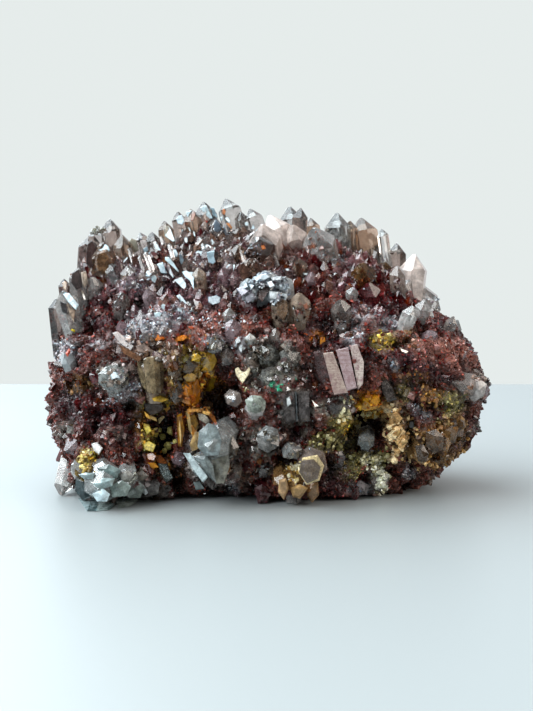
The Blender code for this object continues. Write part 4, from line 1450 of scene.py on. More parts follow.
def gem(heap, outline, ridge, tint, proud=2.0, drop=1.8, thick=5.0, cloud=0.35, deepen=1.0):
    """One faceted crystal body: an outline on the show side, and the corners
    that stand in front of it, between which its flat faces lie."""
    u = [a for a, _ in outline]
    v = [b for _, b in outline]
    cu, cv = sum(u) / len(u), sum(v) / len(v)
    under = [surface_at(cu, cv).y]
    under += [surface_at(cu + (a - cu) * 0.7, cv + (b - cv) * 0.7).y for a, b in outline]
    y0 = float(np.percentile(under, 40)) - proud
    points = [on_sheet(a, b, y0 + drop * rock.uniform(0.7, 1.25))[0] for a, b in outline]
    points += [on_sheet(a, b, y0 + rock.uniform(0.0, 0.5))[0] for a, b in ridge]
    points += [on_sheet(cu + (a - cu) * 0.8, cv + (b - cv) * 0.8, y0 + thick)[0] for a, b in outline]
    eye = Vector(EYE)
    points = [q if q.z > 0.15 else eye + (q - eye) * ((eye.z - 0.15) / (eye.z - q.z)) for q in points]
    verts, faces = hull(points)
    heap.add(verts, faces, lin(tint) * deepen, axial=verts[:, 2], along=np.full(len(verts), 0.6),
             seed=rock.random(), cloud=cloud)


def lump(heap, u, v, ru, rv, tint, proud=1.0, deep=3.0, points=16, flats=4, cloud=0.3, turn=0.0, deepen=1.0):
    """A broken lump with flat faces, U, V its middle, ru, rv in the sheet."""
    at = surface_at(u, v)
    verts, faces, _ = cut_hull(rock, points, flats, (0.26, 0.40))
    verts = verts * 2.0
    c, s = math.cos(math.radians(turn)), math.sin(math.radians(turn))
    x = verts[:, 0] * ru / 3.35
    z = verts[:, 2] * rv / 3.35
    x, z = x * c + z * s, z * c - x * s
    y = verts[:, 1] * deep
    verts = np.stack([x, y, z], axis=1) + np.array(at) + np.array([0.0, deep * 0.55 - proud, 0.0])
    heap.add(verts, faces, lin(tint) * deepen, axial=verts[:, 2], along=np.full(len(verts), 0.6),
             seed=rock.random(), cloud=cloud)


blocks_of = [cut_hull(rock, 9, 3, (0.20, 0.34)) for _ in range(26)]
shards_of = [cut_hull(rock, 8, 3, (0.16, 0.30), (1.0, 0.55, s)) for s in np.linspace(1.2, 2.1, 20)]


def rubble(heap, u, v, ru, rv, tints, size=(1.4, 3.4), density=0.34, lit=0.3, turn=0.0,
           proud=0.3, dome=0.0, cloud=0.25, deepen=1.0, shapes=None):
    """Broken glassy blocks packed over an ellipse of the show side."""
    shapes = shapes or blocks_of
    c, s = math.cos(math.radians(turn)), math.sin(math.radians(turn))
    for _ in range(max(3, int(math.pi * ru * rv / 3.35**2 * density))):
        r, t = math.sqrt(rock.random()), rock.uniform(0, 6.283)
        a, b = r * math.cos(t) * ru, r * math.sin(t) * rv
        at = np.array([list(surface_at(u + a * c - b * s, v + a * s + b * c))])
        verts, faces, face = shapes[rock.integers(len(shapes))]
        d = rock.uniform(*size) * (1 - 0.35 * r * r)
        if rock.random() < lit:
            aim, _ = light_faces(at, np.array([[-0.3, -0.8, 0.5]]), rock, 0.08)
        else:
            aim = rock.normal(size=(1, 3))
        rot = turns_to(face, aim, rock.uniform(0, 6.28, 1))[0]
        at[0, 1] -= proud + dome * (1 - r * r)
        tint = lin(tints[rock.integers(len(tints))]) * deepen * rock.uniform(0.75, 1.2)
        if heap is not waxy and tints is not HONEYS:
            tint = tint * wash(np.array([u + a * c - b * s]), np.array([v + a * s + b * c]), 0.8)[0]
        heap.add(verts * d @ rot.T + at[0], faces, tint, cloud=cloud * rock.uniform(0.4, 1.5),
                 seed=rock.random(), along=np.full(len(verts), 0.8))


def ball_template(rng):
    bm = bmesh.new()
    bmesh.ops.create_icosphere(bm, subdivisions=2, radius=0.5)
    shift = Vector(rng.uniform(-50, 50, 3))
    for v in bm.verts:
        v.co *= 1 + 0.22 * noise.noise(v.co * 3.4 + shift)
    return tidy(bm)


balls = [ball_template(rock) for _ in range(10)]
grit = np.random.default_rng(SEED + 13)
knobs = [cut_hull(grit, 13, 3, (0.18, 0.32), (1.0, 0.8, s)) for s in np.linspace(0.7, 1.5, 24)]


def beads(heap, path, count, wide, size, tints, proud=0.3, deepen=1.0):
    """Rounded beads strewn along a path on the show side."""
    path = np.array(path, float)
    seg = np.linalg.norm(np.diff(path, axis=0), axis=1)
    run = np.concatenate([[0], np.cumsum(seg)])
    for _ in range(count):
        t = rock.uniform(0, run[-1])
        u = np.interp(t, run, path[:, 0]) + rock.normal(0, wide)
        v = np.interp(t, run, path[:, 1]) + rock.normal(0, wide)
        at = np.array(surface_at(u, v))
        d = rock.uniform(*size)
        verts, faces = balls[rock.integers(len(balls))]
        if grit.random() < 0.86:
            verts, faces, face = knobs[grit.integers(len(knobs))]
            rot = turns_to(face, grit.normal(size=(1, 3)), grit.uniform(0, 6.28, 1))[0]
            verts = verts @ rot.T * grit.uniform(1.0, 1.7)
        at[1] -= proud + d * 0.2
        tint = lin(tints[rock.integers(len(tints))]) * deepen * rock.uniform(0.7, 1.2)
        heap.add(verts * d + at, faces, tint, cloud=0.5, seed=rock.random())


def spray(heap, u, v, ru, rv, count, size, tints, lit=0.3, turn=0.0, proud=0.2, cloud=0.3, deepen=1.0):
    """Small hard chips strewn over an ellipse of the show side."""
    c, s = math.cos(math.radians(turn)), math.sin(math.radians(turn))
    for _ in range(count):
        r, t = math.sqrt(rock.random()), rock.uniform(0, 6.283)
        a, b = r * math.cos(t) * ru, r * math.sin(t) * rv
        at = np.array([list(surface_at(u + a * c - b * s, v + a * s + b * c))])
        verts, faces, face = chips[rock.integers(len(chips))]
        d = rock.uniform(*size)
        if rock.random() < lit:
            aim, _ = light_faces(at, np.array([[-0.3, -0.8, 0.5]]), rock, 0.08)
        else:
            aim = rock.normal(size=(1, 3))
        rot = turns_to(face, aim, rock.uniform(0, 6.28, 1))[0]
        at[0, 1] -= proud + d * 0.25
        tint = lin(tints[rock.integers(len(tints))]) * deepen
        heap.add(verts * d @ rot.T + at[0], faces, tint, cloud=cloud, seed=rock.random(),
                 along=np.full(len(verts), 0.8))


K = 1.12
LIGHT_LEAN = (-0.42, 0.46)
# blue-white chip tints: white quartz with a painted reflection of the windows
WHITES_AND_GLINTS = ("#c4d0d8", "#a4b2bc", "#dce6ec", "#8490a0")

# bright sparkling chunk under the crest: white quartz chips, their pale blue a painted reflection of the windows
spray(sparks, 262, 280, 13, 7, 60, (1.0, 2.4), WHITES_AND_GLINTS, 0.5, -18, 0.6, 0.55)
spray(sparks, 283, 290, 8, 9, 34, (0.9, 2.0), WHITES_AND_GLINTS, 0.45, 0, 0.5, 0.5)
spray(sparks, 274, 299, 8, 4, 22, (0.9, 1.8), WHITES_AND_GLINTS, 0.5, -20, 0.6, 0.6)
spray(sparks, 246, 297, 12, 6, 40, (0.7, 1.5), ("#9aa4ac", "#6c6a72", "#c4ccd2"), 0.3, -10, 0.4, 0.4)
# the pale glitter band and other bright patches: white chips with painted blue-white glints
for u, v, ru, rv, count, turn in (
    (138, 331, 20, 11, 190, -16), (172, 313, 22, 10, 190, -24), (215, 342, 10, 8, 46, 0),
    (60, 350, 9, 12, 60, 0), (75, 345, 9, 9, 44, 0), (136, 281, 17, 9, 90, -18),
    (197, 318, 14, 7, 50, 0), (345, 283, 12, 10, 34, 0), (362, 309, 13, 6, 34, 0),
    (386, 320, 11, 7, 30, 0), (350, 331, 11, 11, 36, 0), (421, 412, 10, 5, 26, 35),
    (434, 300, 10, 6, 24, 40), (362, 489, 13, 5, 26, 0), (394, 364, 4, 5, 10, 0),
    (232, 487, 5, 6, 16, 0), (180, 460, 6, 4, 14, 0), (236, 344, 4, 9, 16, 15),
    (330, 257, 16, 6, 34, 0), (252, 250, 12, 6, 24, 0), (228, 322, 22, 9, 60, 0),
    (452, 326, 6, 4, 8, 30), (408, 474, 5, 4, 12, 0), (378, 262, 10, 7, 20, 0),
    (120, 374, 8, 6, 34, 20), (116, 399, 16, 4, 40, -25), (134, 387, 8, 5, 34, -30),
):
    spray(sparks, u, v, ru, rv, int(count * 1.1), (0.45, 1.15), WHITES_AND_GLINTS + ("#a89aa2", "#7a6e78", "#8c8490"), 0.34, turn, 0.25, 0.4)
# everywhere: single hard chips in blue-white, painted glints
spray(sparks, 180, 290, 100, 60, 70, (0.45, 1.0), WHITES_AND_GLINTS, 0.6, 0, 0.35, 0.4)
spray(sparks, 350, 320, 90, 60, 60, (0.45, 0.95), WHITES_AND_GLINTS, 0.6, 20, 0.35, 0.4)
spray(sparks, 250, 430, 170, 60, 60, (0.4, 0.85), WHITES_AND_GLINTS, 0.6, 0, 0.35, 0.4)

HONEYS = ("#b8944c", "#94703c", "#ccac68", "#a88448", "#806028")
GREYS = ("#bcbcae", "#9c9c8e", "#d4d6ca", "#847e6e", "#aca090")
SMOKES = ("#8c6860", "#6c4640", "#a88278", "#5c3832", "#966c62")
BLUSHES = ("#c4a898", "#a88874", "#d8c4b4", "#b48e70", "#94705c")
UMBERS = ("#5a3a1c", "#7c5428", "#3c240e", "#94703c", "#4a2e16")
AMBERS = ("#c07c14", "#e09c20", "#945008", "#f0bc48", "#a8600a")
OCHRES = ("#cca02c", "#a47c14", "#e8c454", "#7c560a", "#c09438", "#4c3208")
# translucent quartz of the middle and the foot
for args in (
    (272, 356, 26, 19, GREYS, (1.6, 4.2), 0.30, 0.42, 0, 0.6, 0.8, 0.10),
    (300, 372, 14, 18, SMOKES, (1.5, 3.6), 0.30, 0.20, 0, 0.5, 0.6, 0.15),
    (262, 378, 15, 12, SMOKES + GREYS, (1.4, 3.4), 0.30, 0.20, 0, 0.5, 0.6, 0.20),
    (246, 340, 10, 9, GREYS, (1.4, 3.0), 0.34, 0.35, 0, 0.5, 0.4, 0.30),
    (150, 350, 30, 11, BLUSHES, (1.4, 3.4), 0.32, 0.20, 10, 0.5, 0.8, 0.35),
    (176, 352, 12, 10, BLUSHES, (1.2, 2.8), 0.34, 0.20, 20, 0.4, 0.4, 0.35),
    (116, 350, 10, 8, SMOKES + BLUSHES, (1.4, 2.8), 0.34, 0.25, 0, 0.4, 0.4, 0.30),
    (112, 376, 18, 13, GREYS, (1.5, 3.6), 0.34, 0.30, 15, 0.6, 1.0, 0.35),
    (136, 478, 13, 9, SMOKES + GREYS, (1.5, 3.4), 0.30, 0.20, 0, 0.4, 0.8, 0.20),
    (266, 442, 14, 13, GREYS, (1.8, 3.8), 0.28, 0.22, 0, 0.6, 0.8, 0.25),
    (292, 450, 10, 8, GREYS, (1.5, 3.0), 0.30, 0.25, 10, 0.5, 0.5, 0.2),
    (264, 468, 11, 9, SMOKES + GREYS, (1.5, 3.2), 0.30, 0.20, 0, 0.4, 0.5, 0.2),
    (242, 440, 10, 18, SMOKES + GREYS, (1.3, 3.0), 0.30, 0.20, 0, 0.4, 0.4, 0.2),
    (240, 470, 10, 12, BLUSHES + SMOKES, (1.3, 3.0), 0.30, 0.20, 0, 0.4, 0.4, 0.3),
    (296, 410, 18, 18, SMOKES + GREYS, (1.4, 3.0), 0.22, 0.20, 0, 0.3, 0.3, 0.15),
    (338, 404, 20, 8, SMOKES + GREYS, (1.6, 3.4), 0.32, 0.20, -14, 0.5, 0.8, 0.15),
    (474, 388, 11, 14, BLUSHES, (1.4, 3.0), 0.32, 0.30, 20, 0.2, 0.3, 0.45),
    (392, 288, 10, 15, SMOKES, (1.6, 3.4), 0.30, 0.20, -10, 0.4, 0.5, 0.15),
    (250, 268, 14, 11, SMOKES + BLUSHES, (1.6, 3.4), 0.30, 0.15, 0, 0.4, 0.5, 0.15),
    (290, 312, 22, 12, SMOKES + UMBERS, (1.4, 3.0), 0.28, 0.0, 0, 0.4, 0.5, 0.12),
    (121, 303, 10, 9, SMOKES, (1.6, 3.2), 0.30, 0.25, 0, 0.4, 0.5, 0.1),
    (218, 284, 26, 9, SMOKES + BLUSHES, (1.2, 2.6), 0.24, 0.25, 0, 0.3, 0.2, 0.15),
    (205, 262, 40, 10, SMOKES + BLUSHES, (1.2, 2.6), 0.20, 0.30, 0, 0.3, 0.2, 0.15),
    (313, 247, 12, 9, BLUSHES, (1.4, 3.0), 0.30, 0.2, 0, 0.3, 0.3, 0.3),
    (408, 338, 14, 11, SMOKES + UMBERS, (1.4, 2.8), 0.28, 0.20, 0, 0.3, 0.3, 0.2),
    (336, 330, 24, 12, SMOKES + UMBERS, (1.2, 2.8), 0.24, 0.20, 0, 0.3, 0.2, 0.15),
    (215, 342, 12, 9, GREYS, (1.3, 2.8), 0.32, 0.35, 0, 0.4, 0.3, 0.3),
    (64, 430, 9, 10, SMOKES + GREYS, (1.2, 2.6), 0.28, 0.2, 0, 0.2, 0.2, 0.3),
    (108, 436, 14, 10, SMOKES + BLUSHES, (1.2, 2.8), 0.28, 0.2, 0, 0.3, 0.3, 0.3),
    (126, 460, 14, 9, SMOKES, (1.3, 2.8), 0.28, 0.2, 0, 0.3, 0.3, 0.2),
    (350, 484, 14, 9, SMOKES, (1.2, 2.8), 0.28, 0.2, 0, 0.3, 0.3, 0.2),
    (220, 498, 34, 5, SMOKES + GREYS, (1.3, 3.0), 0.28, 0.2, 0, 0.4, 0.3, 0.25),
    (262, 494, 13, 12, ("#7c4448", "#5a2c32", "#94605e"), (1.6, 3.4), 0.30, 0.15, 0, 0.4, 0.5, 0.2),
):
    u, v, ru, rv, tints, size, density, lit, turn, proud, dome, cloud = args
    heap = pale if tints is GREYS or tints is BLUSHES else chunky
    low = 0.70 if v > 430 and 225 < u < 350 else 1.6 if v > 465 and u < 150 else 1.0
    rubble(heap, u, v, ru, rv, tints, size, density, lit, turn, proud, dome, cloud, low,
           shards_of if v > 465 else None)
rubble(pale, 188, 372, 25, 28, HONEYS, (1.5, 3.4), 0.42, 0.18, 0, 0.4, 0.4, 0.34)
rubble(pale, 176, 352, 20, 8, HONEYS + BLUSHES, (1.4, 3.0), 0.40, 0.20, 10, 0.4, 0.4, 0.36)
rubble(pale, 148, 353, 16, 5, BLUSHES, (1.2, 2.6), 0.50, 0.25, 5, 1.6, 0.6, 0.34)
# the great pale chunk under the crest: white frosted quartz, its blue-white tints partly a painted reflection of the
# windows
rubble(pale, 270, 285, 20, 12, ("#ccd8de", "#b0bcc6", "#e4ecf0", "#8c98a6", "#5c5058"), (0.7, 2.0), 1.3, 0.45, -10, 0.8, 1.5, 0.5, 1.0, shards_of)
rubble(pale, 262, 277, 11, 4, ("#e0eaee", "#c4d2da", "#9ca8b4"), (0.9, 2.4), 0.9, 0.5, -18, 1.6, 0.8, 0.6, 1.0, shards_of)
rubble(pale, 274, 297, 8, 4, ("#e8eef2", "#ccd8de"), (0.9, 2.0), 0.9, 0.5, -10, 1.4, 0.6, 0.6, 1.0, shards_of)
rubble(chunky, 264, 288, 7, 3, ("#4c3038", "#6c4c50", "#94787c"), (0.8, 1.6), 0.8, 0.1, 0, 1.6, 0.4, 0.2)
for outline, tint, proud, lean in (
    ([(253, 280), (258, 275), (262, 274), (260, 279), (255, 284)], "#c4d4dc", 2.6, (-0.45, 0.3)),
    ([(262, 274), (268, 273), (271, 277), (265, 280), (261, 279)], "#dce8ee", 3.0, (-0.2, 0.6)),
    ([(266, 281), (272, 281), (275, 286), (270, 288)], "#e4eef2", 3.2, (-0.35, 0.5)),
    ([(269, 291), (278, 292), (277, 300), (270, 299)], "#e8eef0", 3.0, (-0.1, 0.4)),
    ([(236, 289), (243, 286), (249, 291), (242, 297)], "#9c98a6", 1.6, (-0.3, 0.3)),
    ([(244, 297), (252, 292), (256, 298), (248, 303)], "#b4b4be", 1.6, (0.1, 0.2)),
):
    slab(pale, outline, tint, proud, 2.6, 0.35, lean, 0.7)
for u, v, ru, rv, count, turn in ((262, 279, 13, 5, 90, -18), (270, 287, 16, 8, 120, -14), (278, 296, 9, 6, 60, -30)):
    spray(sparks, u, v, ru, rv, count, (0.5, 1.3), ("#dfe7ea", "#c2ccd2", "#f0f4f6", "#6c6870", "#3c2e34"), 0.5, turn, 1.5, 0.6)
rubble(pale, 263, 298, 9, 5, ("#b09c98", "#94807c", "#ccc0bc", "#a8a4ac"), (0.8, 1.9), 1.0, 0.2, 0, 1.8, 0.6, 0.5)
rubble(pale, 281, 295, 7, 4, ("#b8c4cc", "#94a0ac", "#dce4e8"), (0.8, 1.8), 1.0, 0.3, 0, 1.4, 0.6, 0.5)
rubble(pale, 246, 294, 11, 8, ("#a8a4b0", "#84808c", "#c8ccd4", "#6c5c66"), (0.8, 2.0), 0.9, 0.3, -10, 0.5, 0.8, 0.35)
# crystals with faces of their own: the foot, the grey one and the middle
for outline, ridge, tint, proud, drop, cloud in (
    ([(76, 479), (83, 475), (91, 483), (90, 496), (82, 500), (75, 491)], [(83, 482), (86, 491)], "#34464a", 2.2, 1.2, 0.30),
    # its pale blue-grey is a painted highlight where the light glints along the foot
    ([(78, 474.5), (86, 472.5), (95, 473.5), (93, 479), (84, 479)], [(87, 475)], "#8fa0a2", 2.2, 1.0, 0.50),
    ([(97, 468), (109, 464), (121, 470), (117, 478), (104, 479)], [(106, 469), (114, 472)], "#6c7c7a", 1.4, 1.4, 0.45),
    ([(93, 484), (103, 478), (115, 478), (112, 486), (99, 490)], [(101, 483), (109, 481)], "#8a9c9c", 2.2, 1.2, 0.45),
    # a pale blue chip whose colour is a painted highlight
    ([(92, 494), (103, 488.5), (110, 494), (107, 501.5), (97, 501.5)], [(101, 493), (103, 498)], "#aebfc4", 3.2, 0.9, 0.80),
    ([(110, 486), (122, 480), (131, 486), (127, 496), (112, 497)], [(117, 487), (123, 490)], "#87948f", 2.8, 1.4, 0.45),
    ([(127, 484), (138, 480), (145, 487), (140, 498), (128, 498)], [(133, 486), (137, 492)], "#7c8680", 2.4, 1.4, 0.40),
    ([(78, 498), (92, 497), (100, 504), (96, 511), (87, 511)], [(88, 500), (92, 504)], "#9fb0b2", 2.6, 1.4, 0.50),
    ([(97, 502), (110, 499), (119, 503), (109, 510), (96, 511)], [(104, 503), (110, 505)], "#92a09e", 2.6, 1.2, 0.50),
    ([(115, 499), (128, 498), (138, 500), (130, 506), (119, 508)], [(121, 500), (129, 501)], "#8a9490", 2.2, 1.2, 0.45),
    ([(142, 484), (150, 478), (160, 483), (158, 494), (146, 497)], [(149, 483), (154, 488)], "#88827e", 2.0, 1.4, 0.35),
    ([(156, 484), (165, 480), (172, 488), (167, 497), (157, 497)], [(161, 485), (165, 490)], "#7c726c", 1.6, 1.4, 0.30),
    ([(143, 489), (146, 488.5), (148, 493), (145.5, 495), (143, 493)], [(145, 491)], "#e4ecee", 3.4, 0.5, 0.8),
    ([(120, 474), (128, 470), (134, 476), (130, 482), (122, 481)], [(126, 473), (128, 478)], "#94918a", 2.0, 1.2, 0.35),
    ([(133, 474), (142, 470), (149, 476), (143, 481), (136, 480)], [(138, 474), (142, 477)], "#8c8276", 1.8, 1.2, 0.35),
    ([(199, 431), (208.5, 423), (216.5, 426), (221.5, 440), (219, 455), (206, 456), (197.5, 447)],
     [(207, 434), (214, 447)], "#a0adae", 1.8, 1.2, 0.50),
    ([(194, 457), (206, 455), (213, 466), (216, 483), (203.5, 472)], [(204, 460), (210, 473)], "#98a4a4", 1.6, 1.0, 0.50),
    ([(206, 456), (219, 453), (229, 452), (229.5, 467), (224, 483), (216, 484), (212, 467)],
     [(218, 460), (223, 470)], "#a8a698", 1.6, 1.1, 0.45),
    ([(203, 474), (213, 476), (220, 484), (213, 490), (205, 483)], [(209, 479), (213, 484)], "#a89e98", 2.6, 1.2, 0.40),
    ([(195, 431.5), (200, 432.5), (201, 440.5), (198, 449), (192, 451.5), (189.5, 444.6)], [(195.5, 441)], "#c4a068", 2.4, 1.0, 0.75),
    ([(217, 469), (220, 472), (224, 471), (221, 477), (218, 475)], [(220, 473)], "#b0643a", 2.6, 0.4, 0.7),
    ([(226, 440), (233, 436), (239, 447), (236, 456), (228, 450)], [(231, 443), (234, 449)], "#8c7c70", 2.0, 1.4, 0.25),
    ([(229, 466), (236, 462), (243, 468), (240, 478), (231, 480)], [(234, 468), (237, 473)], "#90847c", 1.8, 1.4, 0.28),
    ([(245, 400), (252, 395), (261, 396), (266, 402), (264, 410), (256, 414), (248, 411)],
     [(253, 401), (259, 406)], "#b8c2b4", 1.4, 1.4, 0.30),
    ([(257, 435), (267, 428), (278, 435), (279, 446), (268, 453), (258, 448)],
     [(266, 436), (270, 443)], "#a8a4a0", 1.2, 1.6, 0.22),
    ([(284, 445), (293, 442), (303, 449), (297, 459), (286, 457)], [(292, 449), (296, 452)], "#948e8c", 1.0, 1.3, 0.20),
    ([(256, 462), (266, 458), (274, 465), (271, 477), (260, 478)], [(264, 466), (266, 471)], "#847c78", 1.0, 1.3, 0.20),
    ([(276, 408), (284, 404), (292, 410), (290, 422), (281, 426), (275, 418)], [(283, 413), (285, 418)], "#8c8078", 0.8, 1.2, 0.16),
    ([(298, 424), (308, 421), (316, 428), (312, 438), (302, 438)], [(306, 428), (308, 432)], "#8c7c70", 0.8, 1.2, 0.18),
    ([(317, 404), (330, 398), (346, 400), (352, 406), (342, 413), (324, 416)], [(330, 405), (341, 405)], "#908480", 1.2, 1.6, 0.2),
    ([(280, 352), (290, 346), (300, 352), (302, 366), (292, 374), (281, 368)], [(288, 356), (293, 364)], "#c4c2b8", 1.4, 1.6, 0.10),
    ([(254, 350), (264, 343), (276, 346), (280, 358), (272, 368), (258, 364)], [(264, 351), (270, 359)], "#ccccc4", 1.6, 1.8, 0.12),
    ([(262, 370), (272, 366), (282, 372), (280, 384), (268, 388), (260, 380)], [(270, 374), (272, 380)], "#b8b4a8", 1.2, 1.5, 0.10),
    ([(244, 338), (250, 333), (256, 338), (255, 347), (248, 350)], [(249, 340), (251, 344)], "#c4c8c4", 1.2, 1.2, 0.35),
    ([(205, 343), (212, 337), (221, 341), (222, 350), (213, 354), (206, 351)], [(211, 343), (216, 347)], "#b4b2b0", 1.4, 1.4, 0.32),
    ([(219, 350), (228, 347), (235, 354), (232, 364), (222, 366)], [(226, 354), (228, 359)], "#94847c", 1.2, 1.3, 0.22),
    ([(182, 362), (190, 352), (199, 354), (198, 366), (190, 374), (183, 372)], [(189, 360), (193, 364)], "#6c5030", 1.6, 1.4, 0.25),
    ([(166, 360), (174, 354), (181, 360), (181, 374), (174, 384), (167, 378)], [(173, 362), (175, 374)], "#8c745c", 1.4, 1.6, 0.26),
    ([(170, 384), (178, 380), (184, 388), (183, 400), (175, 404), (169, 396)], [(176, 388), (178, 396)], "#7c6858", 1.4, 1.6, 0.24),
    ([(180, 385), (187, 378), (193, 381), (194, 394), (190, 405), (182, 402)], [(186, 385), (188, 396)], "#c87c1c", 2.2, 1.6, 0.62),
    ([(192, 378), (198, 379), (200.5, 390), (199, 402), (193, 407), (191, 396)], [(195, 386), (196, 397)], "#a86410", 2.4, 1.6, 0.62),
    ([(183, 377), (190, 372), (196, 375), (195, 381), (187, 382)], [(189, 376), (192, 378)], "#b88c34", 2.4, 0.9, 0.6),
    ([(191, 356), (197, 353), (202, 357), (199, 362), (193, 361)], [(196, 356), (198, 359)], "#b8962c", 2.2, 0.9, 0.6),
    ([(181, 357), (187, 354), (192, 358), (188, 363), (182, 363)], [(186, 357), (188, 360)], "#94823c", 1.8, 0.9, 0.5),
    ([(204, 384), (211, 381), (215, 387), (210, 392), (205, 390)], [(209, 384), (211, 388)], "#a07818", 1.8, 1.0, 0.7),
    ([(199, 353), (206, 346), (213, 350), (217, 361), (212, 371), (204, 371), (199, 363)],
     [(206, 355), (210, 363)], "#bc9428", 1.4, 1.6, 0.6),
    ([(206, 372), (213, 370), (216, 380), (211, 390), (205, 384)], [(210, 375), (211, 382)], "#b48c24", 1.3, 1.3, 0.7),
    ([(357, 402), (366, 396), (376, 396), (382, 402), (376, 409), (366, 411), (359, 409)],
     [(365, 401), (373, 402)], "#e4a428", 2.4, 1.5, 0.7),
    ([(376, 264), (386, 262), (392, 268), (388, 276), (378, 276)], [(382, 268), (385, 271)], "#8c6c4c", 0.8, 1.2, 0.2),
    ([(98, 374), (106, 366), (118, 365), (124, 374), (120, 386), (106, 390), (99, 384)], [(107, 374), (115, 376)], "#a8aca8", 1.2, 1.6, 0.3),
    ([(463, 392), (468, 382), (478, 378), (487, 384), (484, 396), (474, 402)], [(472, 387), (479, 390)], "#ccc4c0", 0.8, 1.4, 0.55),
    ([(426, 432), (436, 429), (444, 437), (443, 449), (434, 454), (426, 446)], [(434, 436), (437, 446)], "#74583e", 2.6, 1.2, 0.30),
    ([(445, 430), (452, 427), (458, 434), (455, 443), (448, 444)], [(451, 432), (453, 439)], "#846440", 2.2, 1.2, 0.40),
    ([(415, 446), (423, 444), (429, 454), (426, 463), (418, 461)], [(421, 450), (424, 457)], "#5c4630", 2.2, 1.2, 0.30),
    ([(431, 456), (444, 452), (450, 456), (445, 463), (434, 465)], [(438, 457), (445, 457)], "#946e3c", 2.2, 1.0, 0.45),
    ([(330, 452), (340, 448), (346, 456), (342, 468), (333, 468)], [(338, 455), (339, 462)], "#5c4c48", 0.8, 1.2, 0.2),
    ([(351, 484), (360, 480), (370, 486), (366, 494), (354, 496)], [(358, 486), (363, 489)], "#a49c9c", 0.8, 1.2, 0.3),
    ([(254, 488), (262, 484), (270, 490), (268, 502), (258, 504)], [(261, 490), (263, 497)], "#744448", 0.8, 1.3, 0.25),
):
    foot = max(b for _, b in outline) > 478 and outline[0][0] < 160
    gem(pale, outline, ridge, tint, proud, drop, 5.0, cloud + (0.12 if foot else 0.0), 1.55 if foot else 1.0)
# golden brown crystal: upright splinters side by side
for outline, tint, proud, thick, bevel, lean, cloud in (
    ([(137, 361), (141, 358), (143.5, 359), (147, 392), (142, 386), (138, 373)], "#a08c6c", 1.2, 3.0, 0.3, (-0.3, 0.05), 0.30),
    ([(143, 359), (147.5, 357), (150, 373), (151.5, 394), (147, 392)], "#bca888", 1.7, 3.0, 0.3, (0.15, 0.05), 0.34),
    ([(147.5, 357), (153, 356), (155.5, 374), (156.5, 394), (151.5, 394)], "#b09a78", 1.9, 3.0, 0.3, (-0.1, 0.1), 0.28),
    ([(153, 356), (158.5, 357), (160.5, 375), (161, 393), (156.5, 394)], "#9a8260", 1.5, 3.0, 0.3, (0.2, 0.02), 0.26),
    ([(158.5, 357), (163.5, 359), (164.5, 374), (163, 389), (161, 392), (160.5, 376)], "#7c6444", 1.1, 3.0, 0.3, (0.35, 0.05), 0.22),
    ([(112, 333), (118, 331), (135, 346), (131, 351), (119, 343)], "#94786c", 1.6, 2.0, 0.3, (-0.3, 0.4), 0.45),
    ([(118, 344), (131, 351), (143, 358), (139, 362), (124, 354)], "#94684c", 1.8, 2.0, 0.3, (-0.2, 0.1), 0.4),
    ([(136, 346), (144, 343), (152, 350), (146, 354), (138, 352)], "#b49c90", 1.9, 2.0, 0.3, (0.2, 0.4), 0.45),
):
    slab(pale, outline, tint, proud, thick, bevel, lean, cloud, 1.0)

# ochre, amber and umber
for u, v, ru, rv, tint, proud, deep, turn in (
    (162, 337, 5, 3, "#c8600c", 1.0, 1.6, 0), (183, 338, 6, 3, "#c86c0c", 1.0, 1.6, -10),
    (357, 405, 5, 5, "#d8a838", 2.6, 2.2, 0), (375, 399, 6, 6, "#b87c14", 2.4, 2.4, 0),
    (366, 398, 6, 5, "#c88c14", 2.6, 2.4, 0), (68, 353, 2.6, 6, "#b0503c", 1.2, 1.2, 10),
    (73, 331, 2.4, 2.2, "#c8b428", 0.8, 1.0, 0),
    (194, 357, 6, 4, "#d8a82c", 2.0, 2.0, 0), (205, 371, 4, 6, "#b8881c", 1.8, 2.0, 0),
    (189, 386, 5, 6, "#c8741c", 2.4, 2.2, 0), (193, 398, 4, 6, "#8c4408", 2.4, 2.2, 0),
):
    lump(waxy, u, v, ru, rv, tint, proud, deep, 14, 4, 0.5, turn, K)
